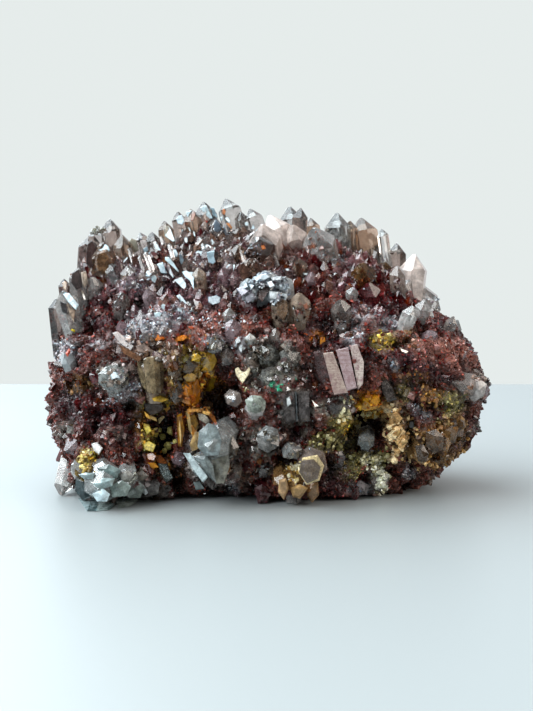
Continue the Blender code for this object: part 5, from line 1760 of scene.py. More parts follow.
for args in (
    (200, 362, 14, 11, OCHRES, (0.8, 2.4), 0.62, 0.12, 0, 0.6, 0.7),
    (207, 380, 9, 11, OCHRES, (0.8, 2.0), 0.60, 0.10, 0, 0.5, 0.5),
    (190, 393, 11, 13, AMBERS + ("#7c3404", "#c06414"), (1.0, 2.8), 0.50, 0.15, 0, 0.8, 1.2),
    (368, 402, 14, 9, AMBERS, (1.0, 2.8), 0.60, 0.18, -8, 1.2, 1.4),
    (366, 412, 12, 4, ("#d8b860", "#e8d090", "#b88c2c"), (0.7, 1.8), 0.70, 0.1, 0, 1.6, 0.8),
    (347, 423, 8, 8, ("#c0a058", "#dccc90", "#8c7434"), (0.8, 2.0), 0.60, 0.1, 0, 1.0, 1.0),
    (382, 341, 12, 9, OCHRES, (0.8, 2.2), 0.50, 0.12, 0, 0.4, 0.5),
    (87, 462, 10, 11, OCHRES + UMBERS, (0.9, 2.2), 0.50, 0.1, 0, 0.4, 0.5),
    (152, 432, 10, 18, OCHRES + UMBERS, (0.9, 2.2), 0.36, 0.1, 0, 0.4, 0.4),
    (157, 462, 12, 9, AMBERS + UMBERS, (0.9, 2.4), 0.50, 0.1, 20, 0.6, 0.5),
    (436, 442, 20, 18, UMBERS, (1.2, 3.2), 0.40, 0.15, 0, 0.5, 1.0),
    (458, 428, 12, 14, UMBERS + ("#a8804c",), (1.2, 2.8), 0.40, 0.15, 0, 0.3, 0.4),
    (430, 398, 12, 12, UMBERS, (1.0, 2.4), 0.36, 0.2, 0, 0.2, 0.3),
    (405, 372, 12, 8, UMBERS, (1.0, 2.4), 0.30, 0.1, 0, 0.2, 0.2),
    (330, 440, 20, 9, ("#8c8450", "#5c5424", "#b0a878", "#3c3614"), (0.8, 2.0), 0.50, 0.1, 0, 0.3, 0.3),
    (372, 458, 22, 7, ("#8c8450", "#b8ae80", "#dcd4ac", "#4c4418"), (0.8, 2.0), 0.50, 0.1, 0, 0.3, 0.4),
    (380, 478, 8, 15, ("#dcd8bc", "#f0ecd8", "#b8b088", "#c8c8b8"), (0.9, 2.2), 0.60, 0.1, 0, 0.5, 0.6),
    (296, 476, 12, 8, ("#a8843c", "#c8ac64", "#e0cc94", "#6c4c18"), (0.9, 2.2), 0.55, 0.1, 0, 0.6, 0.8),
    (315, 336, 8, 6, ("#a8602c", "#7c3c14", "#c89058"), (0.9, 2.0), 0.50, 0.1, 0, 0.3, 0.4),
    (243, 388, 7, 8, ("#b4b08c", "#d8d4b4", "#8c8450"), (0.8, 1.8), 0.50, 0.1, 0, 0.6, 0.5),
    (452, 404, 12, 8, ("#8c8240", "#a89a5c", "#5c5220"), (0.9, 2.0), 0.44, 0.1, 0, 0.2, 0.2),
    (200, 340, 30, 5, ("#9c6420", "#6c3c0c", "#b88c3c", "#3c1c08"), (0.7, 1.8), 0.40, 0.1, 0, 0.3, 0.2),
    (196, 412, 14, 7, ("#8c5818", "#b8884c", "#5c3408"), (0.8, 2.0), 0.44, 0.1, 0, 0.4, 0.3),
):
    u, v, ru, rv, tints, size, density, lit, turn, proud, dome = args
    rubble(waxy, u, v, ru, rv, tints, size, density, lit, turn, proud, dome, 0.5, K)

# rounded tan crust, scalloped rims and cream beads
TANS = ("#c49c68", "#d8b888", "#b08854", "#e4cca0", "#a88a58")
beads(waxy, [(386, 404), (392, 414), (396, 430), (399, 446), (396, 456)], 150, 4.2, (0.9, 2.0), TANS, 0.5, K)
beads(waxy, [(352, 398), (344, 404), (341, 412), (350, 414)], 26, 1.6, (0.6, 1.4), ("#b4ac84", "#8c8458", "#d0c8a0"), 0.6, K)
beads(waxy, [(340, 418), (348, 415), (355, 420), (356, 430), (350, 434)], 40, 1.8, (0.7, 1.6), ("#d0c08a", "#a89050", "#e8dcb4"), 0.8, K)
beads(waxy, [(360, 414), (368, 417), (376, 412), (384, 408)], 36, 1.4, (0.7, 1.5), ("#d8b86c", "#b88c34", "#ecdca8"), 1.4, K)
beads(waxy, [(320, 436), (332, 444), (345, 447), (352, 455)], 60, 3.6, (0.5, 1.3), ("#8c8450", "#c0b88c", "#5c5628"), 0.3, K)
beads(waxy, [(362, 458), (374, 460), (386, 458), (390, 450)], 60, 2.6, (0.6, 1.5), ("#c0b488", "#dcd4b0", "#8c8454"), 0.5, K)
beads(waxy, [(372, 466), (382, 472), (384, 484), (378, 494)], 60, 3.2, (0.6, 1.6), ("#dcdcc4", "#f0eedc", "#b4ac84"), 0.7, K)
beads(waxy, [(417, 428), (420, 440), (418, 452), (424, 462), (438, 467), (450, 462), (462, 450), (468, 436)], 84, 1.3, (0.6, 1.3), ("#b48c50", "#8c6430", "#d0ac74", "#6c4c24"), 0.6, K)
beads(waxy, [(438, 420), (450, 424), (456, 432), (452, 440)], 20, 1.2, (0.6, 1.1), ("#b09460", "#8c6c38", "#c8b48c"), 0.5, K)
beads(waxy, [(286, 470), (294, 466), (304, 470), (308, 478)], 46, 2.2, (0.6, 1.5), ("#d4c48c", "#f0e8c8", "#a8843c"), 0.8, K)
spray(chunky, 97, 228, 9, 5, 30, (0.8, 2.0), ("#d8d4bc", "#b8b4a0", "#8c887c", "#e8e6dc"), 0.3, -15, 0.3, 0.4)
beads(waxy, [(80, 456), (88, 462), (90, 472), (82, 474)], 40, 2.6, (0.6, 1.4), ("#a88c3c", "#6c5418", "#c8b870"), 0.5, K)
for u, v, d in ((172, 430, 2.6), (169, 445, 2.5), (163, 436, 2.0), (165, 450, 1.6), (176, 441, 1.5), (160, 429, 1.4)):
    at = np.array(surface_at(u, v)) - np.array([0, 1.4, 0])
    verts, faces = balls[rock.integers(len(balls))]
    waxy.add(verts * d + at, faces, lin("#b4a860") * K, cloud=0.5)

# box-work of the lower right: dark glassy cells in tan rims
for cu, cv, ru, rv, turn, tint, rim in (
    (412, 425, 5, 9, 0, "#241a10", "#84643a"), (461, 424, 6, 9, 10, "#6c4e2c", "#84643a"),
    (409, 452, 4, 9, -10, "#2c2014", "#94703c"),
):
    ring = []
    for k in range(6):
        a = math.radians(60 * k + turn + rock.uniform(-17, 17))
        grow = rock.uniform(0.68, 1.18)
        ring.append((cu + ru * grow * math.cos(a), cv + rv * grow * math.sin(a)))
    lean = (rock.uniform(-0.3, 0.3), rock.uniform(-0.1, 0.4))
    slab(waxy, ring, rim, 1.2, 3.0, 0.7, lean, 0.5, K * 0.85)
    su, sv = rock.uniform(-1.0, 1.0), rock.uniform(-1.0, 1.0)
    inner = [(cu + su + (a - cu) * g, cv + sv + (b - cv) * g) for (a, b), g in zip(ring, rock.uniform(0.62, 0.86, 6))]
    slab(pale, inner, tint, 1.6, 2.0, 0.5, (lean[0] + 0.25, lean[1] - 0.1), 0.3)
    for k in range(6):
        (a0, b0), (a1, b1) = ring[k], ring[(k + 1) % 6]
        if rock.random() < 0.9:
            tones = (rim, "#d8bc8c", "#8c6838")
            rubble(waxy, (a0 + a1) / 2, (b0 + b1) / 2, 3.5, 2.0, tones, (0.6, 1.6), 1.3, 0.1, 60.0 * k, 0.6, 0.2, 0.5, K)

# plates, blades and chips with outlines of their own
for heap, outline, tint, proud, thick, bevel, lean, cloud in (
    (pale, [(183, 453), (190, 453), (208, 477), (203, 483), (195, 472)], "#b0c0c2", 1.6, 3.0, 0.4, (-0.3, 0.25), 0.7),
    (pale, [(192, 480), (200, 481), (205, 489), (196, 490)], "#98a6a6", 1.6, 3.0, 0.4, (-0.2, 0.25), 0.6),
    # a painted highlight: a pale chip tilted to the light
    (chunky, [(110, 375), (114, 371.5), (117, 373), (121, 379), (117, 378), (112, 380)], "#b4c4c8", 2.6, 2.4, 0.3, LIGHT_LEAN, 0.8),
    (pale, [(282, 391), (295, 390), (297, 422), (285, 424)], "#8c8684", 1.6, 3.0, 0.9, (0.15, 0.1), 0.16),
    (pale, [(286, 398), (290, 396), (291.5, 404), (287.5, 407)], "#a4aaaa", 2.0, 1.2, 0.3, (-0.3, 0.3), 0.6),
    (pale, [(302, 413), (307, 410), (308, 416), (303, 420)], "#98a2a4", 2.6, 1.2, 0.3, (0.1, 0.4), 0.6),
    (pale, [(297, 391), (310, 391), (310, 421), (299, 422)], "#98908e", 2.2, 3.0, 0.9, (-0.05, 0.2), 0.14),
    (chunky, [(295.4, 391), (296.2, 391), (297.6, 421), (296.8, 421.5)], "#8c9498", 2.0, 1.5, 0.1, (0.2, 0.2), 0.5),
    (pale, [(303, 456.5), (315.5, 455), (322.5, 463), (319.5, 475), (308.5, 479.5), (300.8, 468)], "#948a84", 4.4, 3.0, 0.6, (0.05, 0.1), 0.3),
    (waxy, [(304, 454), (319, 451), (326, 462), (321, 477), (308, 481), (300, 468)], "#ccb88c", 3.5, 3.0, 0.6, (0.05, 0.1), 0.5),
    (chunky, [(360, 442), (368, 440), (372, 446), (368, 451), (361, 450)], "#8c9494", 2.0, 3.0, 0.6, (0.1, 0.2), 0.4),
    (chunky, [(379, 380), (387, 378), (393, 388), (397, 400), (387, 402), (382, 391)], "#5c5450", 2.6, 3.0, 0.6, (0.2, 0.2), 0.3),
    (chunky, [(158, 463), (167, 464), (173, 478), (166, 483), (160, 472)], "#62726e", 2.6, 2.4, 0.4, (-0.2, 0.2), 0.3),
    (pale, [(146, 454), (152, 452), (157, 456), (154, 461), (148, 460)], "#b8661c", 2.2, 2.0, 0.3, (-0.3, 0.3), 0.5),
    (pale, [(154, 455), (161, 455), (168, 463), (163, 466), (156, 461)], "#94501c", 2.4, 2.0, 0.3, (0.1, 0.3), 0.5),
    (pale, [(150, 462), (157, 462), (162, 467), (155, 468)], "#c8862c", 2.3, 2.0, 0.3, (0.0, 0.2), 0.5),
    (waxy, [(150, 399), (158, 396), (167, 400), (160, 403), (152, 402)], "#b4902c", 2.4, 1.2, 0.3, (0.0, 0.5), 0.5),
    (chunky, [(144, 403), (164, 404), (163, 411), (152, 416), (145, 411)], "#4c3c30", 1.0, 1.6, 0.4, (0.0, 0.0), 0.3),
    (waxy, [(144, 411), (149, 415), (151, 420), (146, 417)], "#c8943c", 2.6, 1.4, 0.2, (-0.3, -0.2), 0.5),
    (waxy, [(150, 417), (157, 420), (158, 424), (151, 421)], "#e8c078", 2.9, 1.4, 0.2, (0.0, 0.3), 0.5),
    (waxy, [(158, 419), (163, 415), (165, 417), (159, 424)], "#f0d8a0", 3.0, 1.4, 0.2, (0.1, 0.3), 0.5),
    (waxy, [(163, 413), (168, 410), (169, 412), (165, 416)], "#b88434", 2.8, 1.4, 0.2, (0.2, 0.1), 0.5),
    (waxy, [(146, 423), (152, 425), (150, 430), (145, 428)], "#8c7424", 2.2, 1.4, 0.2, (-0.2, 0.1), 0.5),
    (waxy, [(141, 445), (149, 441), (156, 445), (153, 452), (145, 450)], "#b09a3c", 2.0, 1.4, 0.2, (-0.2, 0.4), 0.5),
    (waxy, [(143, 427), (149, 425), (152, 431), (147, 435)], "#b09c34", 1.6, 1.4, 0.3, (-0.2, 0.2), 0.5),
    (pale, [(177, 415), (182, 413), (185, 430), (182, 447), (178, 446)], "#b47a1c", 2.2, 1.6, 0.6, (0.5, 0.0), 0.7),
    (pale, [(177.5, 418), (179.5, 417), (181.5, 436), (180.5, 446)], "#dcb878", 2.7, 1.0, 0.2, (-0.2, 0.1), 0.8),
    (pale, [(184, 413), (188, 411), (197, 428), (192, 440), (187, 430)], "#c0a470", 2.4, 1.6, 0.6, (-0.5, 0.1), 0.7),
    (pale, [(188, 425), (193, 424), (194, 437), (190, 440)], "#b8741c", 2.9, 1.0, 0.3, (0.2, 0.1), 0.7),
    (waxy, [(183, 412), (191, 409), (199, 409), (198, 411.5), (190, 412.5)], "#a8742c", 2.6, 1.4, 0.2, (0.0, 0.3), 0.5),
    (waxy, [(199, 409), (207, 410), (210, 414), (204, 413.5), (199, 411.5)], "#c89a54", 2.8, 1.4, 0.2, (0.0, 0.1), 0.5),
    (pale, [(210, 412), (215, 417), (218, 425), (214, 423), (209, 416)], "#a4622c", 2.9, 1.4, 0.2, (0.3, 0.1), 0.5),
    (chunky, [(195, 413), (203, 414), (208, 421), (204, 424), (197, 420)], "#b8b0a0", 2.4, 1.6, 0.3, (0.0, 0.35), 0.5),
    (pale, [(190, 415), (195, 414), (199, 424), (196, 431), (191, 424)], "#7c5a24", 2.0, 1.6, 0.3, (-0.3, 0.1), 0.5),
    (waxy, [(235, 369), (238, 367), (241, 371), (244, 372), (247, 370), (249, 367), (250.5, 370), (248.5, 375), (245, 380), (242.5, 383.5), (239.5, 380), (236, 375)], "#e8d8b4", 1.8, 2.0, 0.3, (-0.2, 0.3), 0.5),
    # two white shards, painted glints
    (chunky, [(235, 340), (239, 336), (241, 342), (236, 344)], "#eef4f6", 1.4, 1.4, 0.25, LIGHT_LEAN, 0.5),
    (chunky, [(237, 345), (243, 344), (242, 353), (239, 350)], "#e0eaee", 1.4, 1.4, 0.25, LIGHT_LEAN, 0.5),
    (waxy, [(312, 400), (315, 403), (319, 406), (315, 407)], "#f0e4d4", 2.4, 1.2, 0.2, LIGHT_LEAN, 0.5),
    (waxy, [(398, 348), (406, 351), (404, 353), (399, 351)], "#e8d4c0", 1.6, 1.2, 0.2, LIGHT_LEAN, 0.5),
    (chunky, [(91, 444), (97, 442), (103, 448), (99, 455), (94, 451)], "#d0ccc8", 2.0, 1.8, 0.3, LIGHT_LEAN, 0.5),
    # peach faces of the left crystals are painted warm reflections, the blue one a painted reflection of the windows
    (chunky, [(82, 272), (86, 271), (88, 283), (84, 288)], "#d8c4b0", 1.6, 1.8, 0.3, (0.5, 0.1), 0.6),
    (chunky, [(63, 294), (69, 293), (79, 305), (76, 310), (68, 302)], "#c8dce2", 2.6, 2.0, 0.3, LIGHT_LEAN, 0.5),
    (chunky, [(67, 303), (75, 311), (74, 322), (70, 316)], "#d8bca4", 2.4, 2.0, 0.3, (0.4, 0.1), 0.6),
    (chunky, [(96, 252), (107, 249), (113, 262), (107, 276), (97, 272), (95, 262)], "#8c6a4c", 2.8, 3.0, 0.8, (0.2, 0.1), 0.4),
    # a painted glint on the frosted chunk
    (chunky, [(270, 277), (282, 276), (281, 280), (272, 281)], "#d8dce0", 2.4, 2.0, 0.3, LIGHT_LEAN, 0.5),
    (pale, [(279, 480), (286, 478), (289, 488), (284, 500), (278, 492)], "#d8b080", 3.2, 3.0, 0.9, (0.3, -0.1), 0.65),
    (pale, [(290, 488), (300, 484), (308, 488), (300, 499), (293, 497)], "#c8a068", 3.0, 3.0, 0.9, (-0.1, -0.2), 0.65),
    (pale, [(307, 484), (318, 482), (319, 495), (312, 503), (307, 496)], "#a8845c", 2.6, 3.0, 0.9, (0.1, -0.1), 0.6),
    (chunky, [(326, 279), (334, 283), (331, 296), (326, 292)], "#8a6054", 1.2, 1.6, 0.3, (0.1, 0.1), 0.4),
    (chunky, [(327, 357), (330, 376), (326, 392), (316, 372), (313, 352), (320, 350)], "#6e4e4c", 1.2, 3.0, 0.6, (-0.2, 0.0), 0.35),
):
    deepen = K if heap is waxy else 1.0
    slab(heap, outline, tint, proud, thick, bevel, lean, cloud, deepen)

# Bright faces of the shoulder, the crest and the left edge, each with its own
# outline on the show side, then its tint, how far it stands out (mm) and its
# milkiness. The pale and sky-blue tints are painted reflections of the windows,
# and the peach ones of the left edge painted warm reflections; the dark and
# brown ones are the crystals' own colour.
PAINTED_GLINT, PAINTED_SKY, DULL = "#ccdfe6", "#a4bcc8", "#8494a0"
FACES = [
    ([(176, 219), (179, 215.5), (182, 215), (185, 221), (182.5, 225), (178, 224)], PAINTED_SKY, 0.3, 0.8),
    ([(186, 212), (190, 210.5), (192, 210.5), (189, 215), (188, 217.5), (186.5, 215.5)], PAINTED_GLINT, 0.3, 0.8),
    ([(200, 208), (203, 205.5), (206.5, 205.5), (213, 218.5), (210, 219), (206, 215.5)], PAINTED_GLINT, 0.3, 0.8),
    ([(209.5, 207.5), (214, 208), (218, 217.5), (213.5, 218.5)], PAINTED_SKY, 0.3, 0.7),
    ([(165, 227), (168.5, 226), (171, 230), (175, 241), (173, 242), (165, 236)], PAINTED_GLINT, 0.6, 0.9),
    ([(182, 229.5), (184, 229.5), (183.5, 234), (182.5, 237.5), (181, 237.5), (181.8, 233)], PAINTED_GLINT, 0.6, 0.9),
    ([(184.5, 238), (187, 236.5), (187.8, 241), (187, 243.5), (184.5, 242)], PAINTED_GLINT, 0.7, 0.9),
    ([(188, 227), (189.5, 228), (191, 231.5), (189.5, 231)], PAINTED_GLINT, 0.6, 0.9),
    ([(193, 230), (194.5, 232), (195.5, 236.5), (193.8, 236)], PAINTED_GLINT, 0.6, 0.9),
    ([(199, 236), (201.5, 237), (202.5, 239), (202, 242), (200, 241)], PAINTED_GLINT, 0.6, 0.9),
    ([(209.5, 241), (212, 239), (214, 242), (213.5, 245), (211, 245)], PAINTED_SKY, 0.7, 0.9),
    ([(200.5, 246), (204, 245), (208, 244.5), (213, 247.5), (214, 250), (207.5, 251.5), (204, 249)], PAINTED_GLINT, 1.0, 0.9),
    ([(212.5, 245.5), (217, 249), (219.5, 252.5), (217.5, 252), (213.5, 249)], PAINTED_GLINT, 1.0, 0.9),
    ([(206.5, 252), (214.5, 250.5), (214, 256), (215.5, 262), (213, 264), (208.5, 262.5), (207.5, 257)], PAINTED_SKY, 1.0, 0.85),
    ([(193.5, 253), (197.5, 250.5), (203.5, 251), (206, 254), (202.5, 258.5), (199, 259)], PAINTED_SKY, 1.0, 0.85),
    ([(198.5, 264), (203, 261), (206.5, 264), (204.5, 269)], "#aab4c0", 0.8, 0.8),
    ([(178.5, 254.5), (181.5, 254), (183.5, 259), (186, 266), (184, 267), (180, 262)], DULL, 0.8, 0.8),
    ([(173, 250), (176, 249.5), (178, 254), (177, 257), (174, 256.5)], PAINTED_SKY, 0.7, 0.8),
    ([(220, 217), (222.5, 216.5), (223, 219), (221.5, 221)], PAINTED_GLINT, 0.3, 0.9),
    ([(225, 218), (228, 217), (230.5, 221), (229.5, 223), (226.5, 220.5)], PAINTED_GLINT, 0.3, 0.9),
    ([(244.5, 223), (246.5, 221.5), (248.5, 223), (248, 226), (245.5, 225.5)], PAINTED_GLINT, 0.5, 0.9),
    ([(251, 229), (253, 224), (255, 227.5), (253.5, 229.5)], PAINTED_SKY, 0.5, 0.9),
    ([(213.5, 224), (216, 219), (220, 224), (221.5, 230), (218, 232.5), (214, 231)], "#7c8c9c", 0.8, 0.5),
    ([(221.5, 230), (224.5, 225), (227, 233), (226, 236), (222, 233)], "#9ca8b6", 0.8, 0.5),
    ([(226, 267), (228.5, 264.5), (232, 264.5), (232.5, 268), (229, 270), (226.5, 268.5)], PAINTED_GLINT, 0.8, 0.9),
    ([(232.8, 265), (235, 264.5), (235, 271), (233.4, 270)], PAINTED_GLINT, 0.8, 0.9),
    ([(229, 257), (231, 254.5), (230, 260), (228.5, 261)], PAINTED_GLINT, 0.6, 0.9),
    ([(154, 243), (156, 243), (165, 256), (166, 260), (164, 259), (155, 247)], PAINTED_GLINT, 0.8, 0.9),
    ([(165, 257), (169, 257), (173, 262), (179, 271), (178, 272), (172, 266), (165, 260)], PAINTED_GLINT, 1.2, 0.95),
    ([(167, 266), (169, 265), (171, 270), (174, 277), (173, 278), (169, 273)], PAINTED_GLINT, 1.2, 0.9),
    ([(157, 264), (163, 262), (166, 271), (167, 274), (161, 273), (159, 276), (157, 268)], PAINTED_SKY, 1.0, 0.85),
    ([(147, 271), (150, 270), (152, 274), (149, 277), (146, 273)], PAINTED_GLINT, 0.8, 0.9),
    ([(151, 276), (155, 275), (157, 278), (155, 283), (152, 281)], PAINTED_GLINT, 0.8, 0.9),
    ([(182, 272), (186, 270), (189, 272), (195, 272), (196, 274), (194, 280), (194, 290), (190, 281), (185, 277)], PAINTED_SKY, 1.2, 0.9),
    ([(174, 280), (182, 277), (186, 283), (187, 292), (188, 295), (184, 290), (179, 285)], PAINTED_GLINT, 1.2, 0.9),
    ([(176, 296), (180, 294), (184, 299), (188, 305), (182, 303)], PAINTED_SKY, 1.0, 0.85),
    ([(146, 247), (148, 246), (148, 251), (145, 253), (143, 249)], PAINTED_SKY, 0.6, 0.8),
    ([(148, 253), (152, 251), (155, 256), (154, 264), (151, 262)], DULL, 0.7, 0.7),
    ([(208, 297), (217, 295), (221, 298), (220, 303), (213, 305), (208, 302)], "#8c9ca8", 1.2, 0.6),
    ([(193, 299), (199, 298), (203, 308), (196, 309)], "#b8a8a4", 0.8, 0.7),
    ([(161, 305), (163, 303), (167, 306), (164, 310), (161, 309)], PAINTED_GLINT, 0.9, 0.9),
    ([(154, 313), (160, 312), (162, 314), (159, 318), (155, 317)], PAINTED_GLINT, 0.9, 0.9),
    ([(177, 308), (181, 308), (182, 311), (178, 312)], PAINTED_GLINT, 0.8, 0.9),
    ([(120, 334), (125, 336), (127, 340), (123, 342), (121, 341)], PAINTED_SKY, 0.8, 0.9),
    ([(98, 250), (103, 248), (105, 244), (108, 246), (110, 250), (107, 254), (102, 252.5)], PAINTED_SKY, 0.8, 0.85),
    ([(97, 254), (102, 253), (107, 257), (108, 266), (110, 275), (104, 274), (97, 272), (95, 264)], "#a07850", 1.0, 0.5),
    ([(88, 243), (92, 240), (96, 246), (96.5, 255), (94, 266), (90, 269), (86.5, 264), (86, 252)], "#4c3834", 1.0, 0.4),
    ([(79, 247), (86, 244), (86, 262), (88, 270), (82, 266), (78.5, 257)], "#8a7672", 0.8, 0.5),
    ([(72, 273), (78, 269), (81, 276), (82, 287), (76, 290), (71, 283)], "#50423f", 0.9, 0.4),
    ([(81, 272), (86, 274.5), (85, 281), (83, 285), (81.5, 278)], "#ccb8a8", 1.0, 0.9),
    ([(81, 290), (83, 291), (86, 300), (84, 300)], "#e4d4c0", 0.8, 0.9),
    ([(62, 283), (65, 281), (67, 283), (66, 290), (64, 289)], "#c8a484", 0.6, 0.8),
    ([(62.5, 293.5), (66, 293), (74, 299), (76, 304), (72, 301), (66, 297.5)], "#9cc0d0", 0.6, 0.8),
    ([(67, 303), (75, 311), (74, 322), (70, 316)], "#dcc0a8", 0.8, 0.8),
    ([(60, 301), (66, 304), (68, 315), (62, 312)], "#4c4444", 0.5, 0.4),
    ([(131, 257), (137, 255), (143, 262), (141, 269), (134, 267)], "#6e4c42", 0.8, 0.4),
    ([(128, 243), (131, 238), (136, 240), (139, 250), (135, 253), (131, 247)], "#b8b2a0", 0.8, 0.6),
    ([(121, 264), (127, 257), (128, 258), (122, 265)], PAINTED_GLINT, 0.8, 0.9),
    ([(240, 264), (250, 258), (259, 262), (262, 271), (252, 276), (243, 280), (239, 272)], "#7c5a4c", 0.6, 0.4),
    ([(283, 273), (288, 269), (293, 273), (290, 279), (285, 278)], "#70524a", 1.0, 0.4),
    ([(285, 269), (288, 268.5), (292, 270.5), (291, 271.5), (286, 270.5)], PAINTED_GLINT, 1.3, 0.9),
    ([(295, 264), (298, 262.5), (303, 270), (301, 276), (297, 273)], "#5c3c2c", 1.0, 0.4),
    ([(303, 273), (308, 273), (307, 275), (303.5, 275)], PAINTED_GLINT, 1.0, 0.9),
    ([(301, 284), (304, 278.5), (305, 281), (302.5, 285)], "#f4f0e4", 1.0, 0.9),
    ([(268, 294), (276, 290), (279, 295), (278, 300), (270, 303), (267, 299)], "#dce4ea", 1.6, 0.8),
    ([(243, 288), (246, 281), (248, 287), (244, 289)], PAINTED_GLINT, 1.6, 0.9),
    ([(258, 291), (264, 286), (271, 288), (267, 294), (263, 301), (258, 299)], "#6c5650", 1.4, 0.4),
    ([(276, 303), (281, 298), (287, 301), (288, 312), (284, 320), (278, 316)], "#80644c", 1.2, 0.4),
    ([(192, 212.5), (194, 211), (196, 213), (193, 221), (190.5, 221)], "#9c5424", 0.4, 0.5),
]
for outline, tint, proud, cloud in FACES:
    # the pale faces are painted reflections and lean part way to the light
    bright = lin(tint).mean() > 0.30
    most = rock.uniform(0.25, 0.95)
    lean = (LIGHT_LEAN[0] * most, LIGHT_LEAN[1] * most)
    if not bright:
        lean = (rock.uniform(-0.35, 0.25), rock.uniform(-0.05, 0.45))
    slab(pale, outline, tint, proud, 1.6, 0.22, lean, cloud)
for outline, tint, proud in (
    ([(222.3, 210), (224, 208.5), (226, 211), (224.5, 215), (222.8, 214)], "#c87c4c", 0.3),
    ([(226, 223), (229, 223), (232.5, 227.5), (231, 229), (228, 226)], "#c07838", 0.8),
    ([(204, 222), (206, 220.3), (208, 221.5), (206.3, 223.3)], "#c02c08", 0.6),
    ([(155, 340), (158, 334), (161, 337), (162, 339), (158, 341)], "#d8740c", 1.2),
    ([(176, 338), (182, 336.5), (187, 335), (187, 338), (183, 341), (178, 341)], "#e08418", 1.4),
    ([(188, 327), (192, 325.5), (195, 328), (191, 329.5)], "#a03c04", 1.0),
    ([(303, 305), (307, 303), (309, 308), (305, 310)], "#84482c", 1.4),
    ([(261, 246), (264, 245), (266, 249), (262, 250)], "#c06820", 1.0),
):
    slab(waxy, outline, tint, proud, 1.4, 0.2, (rock.uniform(-0.3, 0.1), rock.uniform(0.0, 0.4)), 0.5, 0.8)

# green specks and red-orange specks
spray(waxy, 276, 382, 4, 3.2, 22, (1.0, 1.9), ("#1f8a64", "#14684c", "#35a67e"), 0.4, 0, 2.6, 0.5, 1.1)
spray(waxy, 275, 382, 6, 4, 26, (0.5, 1.1), ("#1c7a58", "#0e5440", "#2c9a70"), 0.3, 0, 2.4, 0.5, 1.0)
spray(waxy, 304, 381, 2.5, 2, 7, (0.8, 1.3), ("#1e7c5c", "#3c9074"), 0.3, -50, 2.4, 0.5, 1.0)
spray(waxy, 303, 381, 4, 3, 10, (0.4, 0.8), ("#1e7458", "#3c8c70"), 0.2, -50, 2.2, 0.5, 1.0)
spray(waxy, 134, 443, 3, 3, 8, (0.5, 0.9), ("#0e4a2c", "#0c3c24"), 0.1, 0, 0.6, 0.5, 0.8)
spray(waxy, 145, 301, 3, 2, 6, (0.4, 0.8), ("#1c5438", "#0e3c28"), 0.1, 0, 0.5, 0.5, 0.8)
spray(waxy, 86, 424, 4, 4, 7, (0.4, 0.8), ("#1c4450", "#14343c"), 0.1, 0, 0.5, 0.5, 0.8)
for u, v in ((154, 314), (152, 309), (206, 221), (319, 230), (263, 246), (231, 373), (226, 362), (160, 340),
             (309, 478), (327, 341), (306, 336), (262, 480), (215, 424), (170, 456), (340, 412), (296, 456), (331, 309)):
    spray(waxy, u, v, 3, 2, 6, (0.5, 1.0), ("#a8360c", "#c05418", "#7c240c"), 0.1, 30, 0.7, 0.5, 0.9)

# the back and sides: groups of broken quartz and stain strewn at random
p, n, broad, _ = surface_samples(1500, rock, 4.0)
keep = ~faces_eye(p, broad) | (np.abs(broad[:, 1]) < 0.30)
p, broad = p[keep], broad[keep]
kept = thin_out(p, np.full(len(p), 7.5))
p, broad = p[kept], broad[kept]
w = zone_weights(p, np.zeros(len(p), bool))
kind_at = pick_kind(w, rock)
for q, m, k in zip(p, broad, kind_at):
    turn = frames(m[None], np.zeros(1))[0]
    wide = rock.uniform(2.2, 4.8)
    for _ in range(int(wide * wide * 1.1)):
        r, t = wide * math.sqrt(rock.random()), rock.uniform(0, 6.283)
        spot = q + turn[:, 0] * r * math.cos(t) + turn[:, 1] * r * math.sin(t)
        spot = np.array(fine_tree.find_nearest(Vector(spot))[0])
        verts, faces, face = blocks_of[rock.integers(len(blocks_of))]
        d = rock.uniform(1.3, 3.4) * (1 - 0.3 * r / wide)
        aim, able = light_faces(spot[None], m[None], rock, 0.08)
        if rock.random() > 0.3 or not able[0]:
            aim = rock.normal(size=(1, 3))
        rot = turns_to(face, aim, rock.uniform(0, 6.28, 1))[0]
        tint = PALETTES[k][rock.integers(1, len(PALETTES[k]))]
        if KINDS[k] in EARTHY:
            waxy.add(verts * d @ rot.T + spot, faces, tint * K, cloud=0.5, seed=rock.random())
        else:
            tint = np.minimum(tint * 1.3 + 0.05, 0.8)
            chunky.add(verts * d @ rot.T + spot, faces, tint, cloud=rock.uniform(0.05, 0.4),
                       seed=rock.random(), along=np.full(len(verts), 0.8))

veined = quartz_material("veined_quartz", (0.70, 0.66, 0.60), 80.0, lin("#4a2a24"), 0.28, 0.64, 0.52, 0.36, (0.02, 0.14))
broken = quartz_material("broken_quartz", (0.74, 0.58, 0.54), 90.0, lin("#40160f"), 0.30, 0.34, 0.50, 0.35, (0.02, 0.16))
clean = quartz_material("clean_quartz", (0.72, 0.70, 0.66), 60.0, lin("#7c6054"), 0.24, 0.8, 0.62, 0.0, (0.06, 0.24))
glitter = druse_material("bright_chips", 900.0, 0.14, (0.05, 0.22), 0.7, 1.55, 0.45, 1.2, (0.45, 0.42, 0.46))

for shelf, heap in glass.items():
    heap.piece("points_" + shelf, quartz[shelf], "clear_quartz")
phantoms.piece("phantoms", dust, "matrix")
for k, heap in enumerate(heaps[:4]):
    heap.piece("druse_" + "abcd"[k], druse, "matrix")
heaps[4].piece("stain_grains", iron, "iron_stain")
chunky.piece("quartz_lumps", veined, "clear_quartz")
pale.piece("quartz_faces", clean, "clear_quartz")
packed.piece("broken_quartz", broken, "clear_quartz")
packed_stain.piece("broken_stain", iron, "iron_stain")
waxy.piece("stained_lumps", iron, "iron_stain")
sparks.piece("bright_chips", glitter, "clear_quartz")


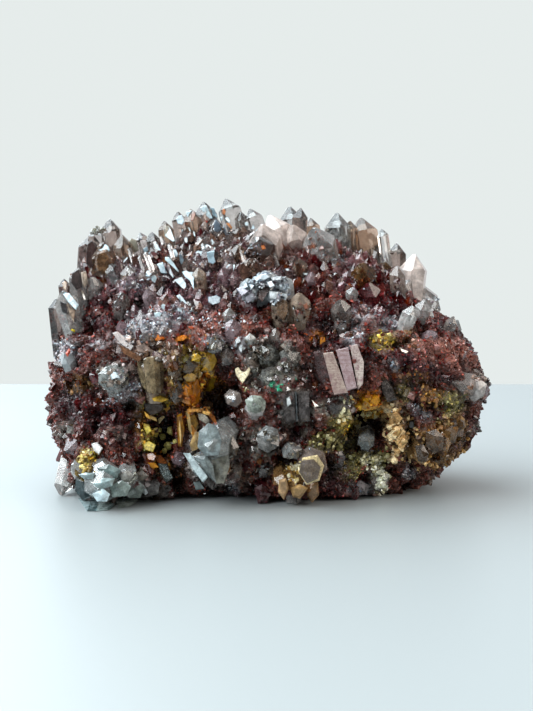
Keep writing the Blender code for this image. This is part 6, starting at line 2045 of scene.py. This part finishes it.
# ------------------------------------------------------------------- laths
laths = Seated()
for outline, tint, proud, lean in (
    ([(323, 353), (333, 352), (348, 393), (334, 395)], "#b8a69a", 2.2, (0.10, 0.10)),
    ([(336, 350), (348, 347), (357, 388), (347, 391)], "#b09c9e", 2.4, (0.05, 0.15)),
    ([(350, 346), (357, 344), (364, 362), (363, 384), (358, 390)], "#ccbeb4", 2.5, (-0.10, 0.10)),
):
    slab(laths, outline, tint, proud, 4.5, 0.25, lean, 0.5, 1.0)
mat, tree_, shader = material("lilac_lath")
tint = attribute(tree_, "tint").outputs["Color"]
axial = attribute(tree_, "axial").outputs["Fac"]
lines = node(tree_, "ShaderNodeTexNoise", noise_dimensions="1D", Scale=3.4, Detail=3.0)
tree_.links.new(axial, lines.inputs["W"])
speck = object_noise(tree_, 1700.0, 4.0, 0.65)
blotch = object_noise(tree_, 500.0, 3.0, 0.6)
colour = mix(tree_, ramp(tree_, speck, 0.46, 0.60, 0.0, 0.8), tint, (0.22, 0.13, 0.12))
colour = mix(tree_, ramp(tree_, blotch, 0.48, 0.64, 0.0, 0.65), colour, (0.26, 0.15, 0.16))
colour = mix(tree_, ramp(tree_, lines.outputs["Fac"], 0.54, 0.68, 0.0, 0.40), colour, (0.16, 0.08, 0.09))
tree_.links.new(colour, shader.inputs["Base Color"])
tree_.links.new(ramp(tree_, speck, 0.3, 0.7, 0.15, 0.4), shader.inputs["Roughness"])
bump(tree_, shader, speck, 0.35, 0.0004)
laths.piece("split_laths", mat, "matrix")

# ----------------------------------------------------------- floor and light
floor_mesh = bpy.data.meshes.new("floor")
floor_bm = bmesh.new()
bmesh.ops.create_grid(floor_bm, x_segments=1, y_segments=1, size=1.0)
for v in floor_bm.verts:
    v.co = (v.co.x * 1.2, -0.55 + (v.co.y + 1) * 0.45, 0.0)
floor_bm.to_mesh(floor_mesh)
floor_bm.free()
floor = bpy.data.objects.new("floor", floor_mesh)
bpy.context.scene.collection.objects.link(floor)
mat, tree_, shader = material("pale_floor")
cloudy = object_noise(tree_, 3.0, 3.0)
FLOOR = 0.302
tree_.links.new(
    mix(tree_, cloudy, (FLOOR * 0.95, FLOOR * 1.03, FLOOR * 1.05), (FLOOR, FLOOR * 1.08, FLOOR * 1.09)),
    shader.inputs["Base Color"],
)
shader.inputs["Roughness"].default_value = 0.4
shader.inputs["Specular IOR Level"].default_value = 0.3
floor_mesh.materials.append(mat)

world = bpy.data.worlds.new("studio")
bpy.context.scene.world = world
world.use_nodes = True
wt = world.node_tree
back = wt.nodes["Background"]
place = node(wt, "ShaderNodeTexCoord")
split = node(wt, "ShaderNodeSeparateXYZ")
wt.links.new(place.outputs["Generated"], split.inputs["Vector"])
# the room is darker towards the viewer, brighter behind and above
room = ramp(wt, split.outputs["Y"], -0.25, 0.45, 0.07, 0.72)
room = maths(wt, "ADD", room, ramp(wt, split.outputs["Z"], 0.45, 0.85, 0.0, 0.80))
sight = node(wt, "ShaderNodeLightPath")
grey = node(wt, "ShaderNodeCombineColor")
for channel, part in (("Red", 0.96), ("Green", 1.0), ("Blue", 1.03)):
    wt.links.new(maths(wt, "MULTIPLY", room, part), grey.inputs[channel])
seen = mix(wt, sight.outputs["Is Camera Ray"], grey.outputs["Color"], (0.79, 0.84, 0.83))
wt.links.new(seen, back.inputs["Color"])
back.inputs["Strength"].default_value = 1.0

for name, at, size, power, colour in WINDOWS:
    data = bpy.data.lights.new(name, "AREA")
    data.shape = "RECTANGLE"
    data.size, data.size_y = size
    data.energy = power
    data.color = colour
    ob = bpy.data.objects.new(name, data)
    bpy.context.scene.collection.objects.link(ob)
    ob.location = at
    ob.rotation_euler = (Vector((0, 0, 0.04)) - Vector(at)).to_track_quat("-Z", "Y").to_euler()

camera_data = bpy.data.cameras.new("camera")
camera_data.lens = 52.0
camera_data.sensor_width = 36.0
camera_data.clip_start = 0.01
camera = bpy.data.objects.new("camera", camera_data)
bpy.context.scene.collection.objects.link(camera)
camera.location = tuple(c * MM for c in EYE)
camera.rotation_euler = (math.radians(90 - DIP), 0, 0)
bpy.context.scene.camera = camera
bpy.context.scene.view_settings.view_transform = "Standard"
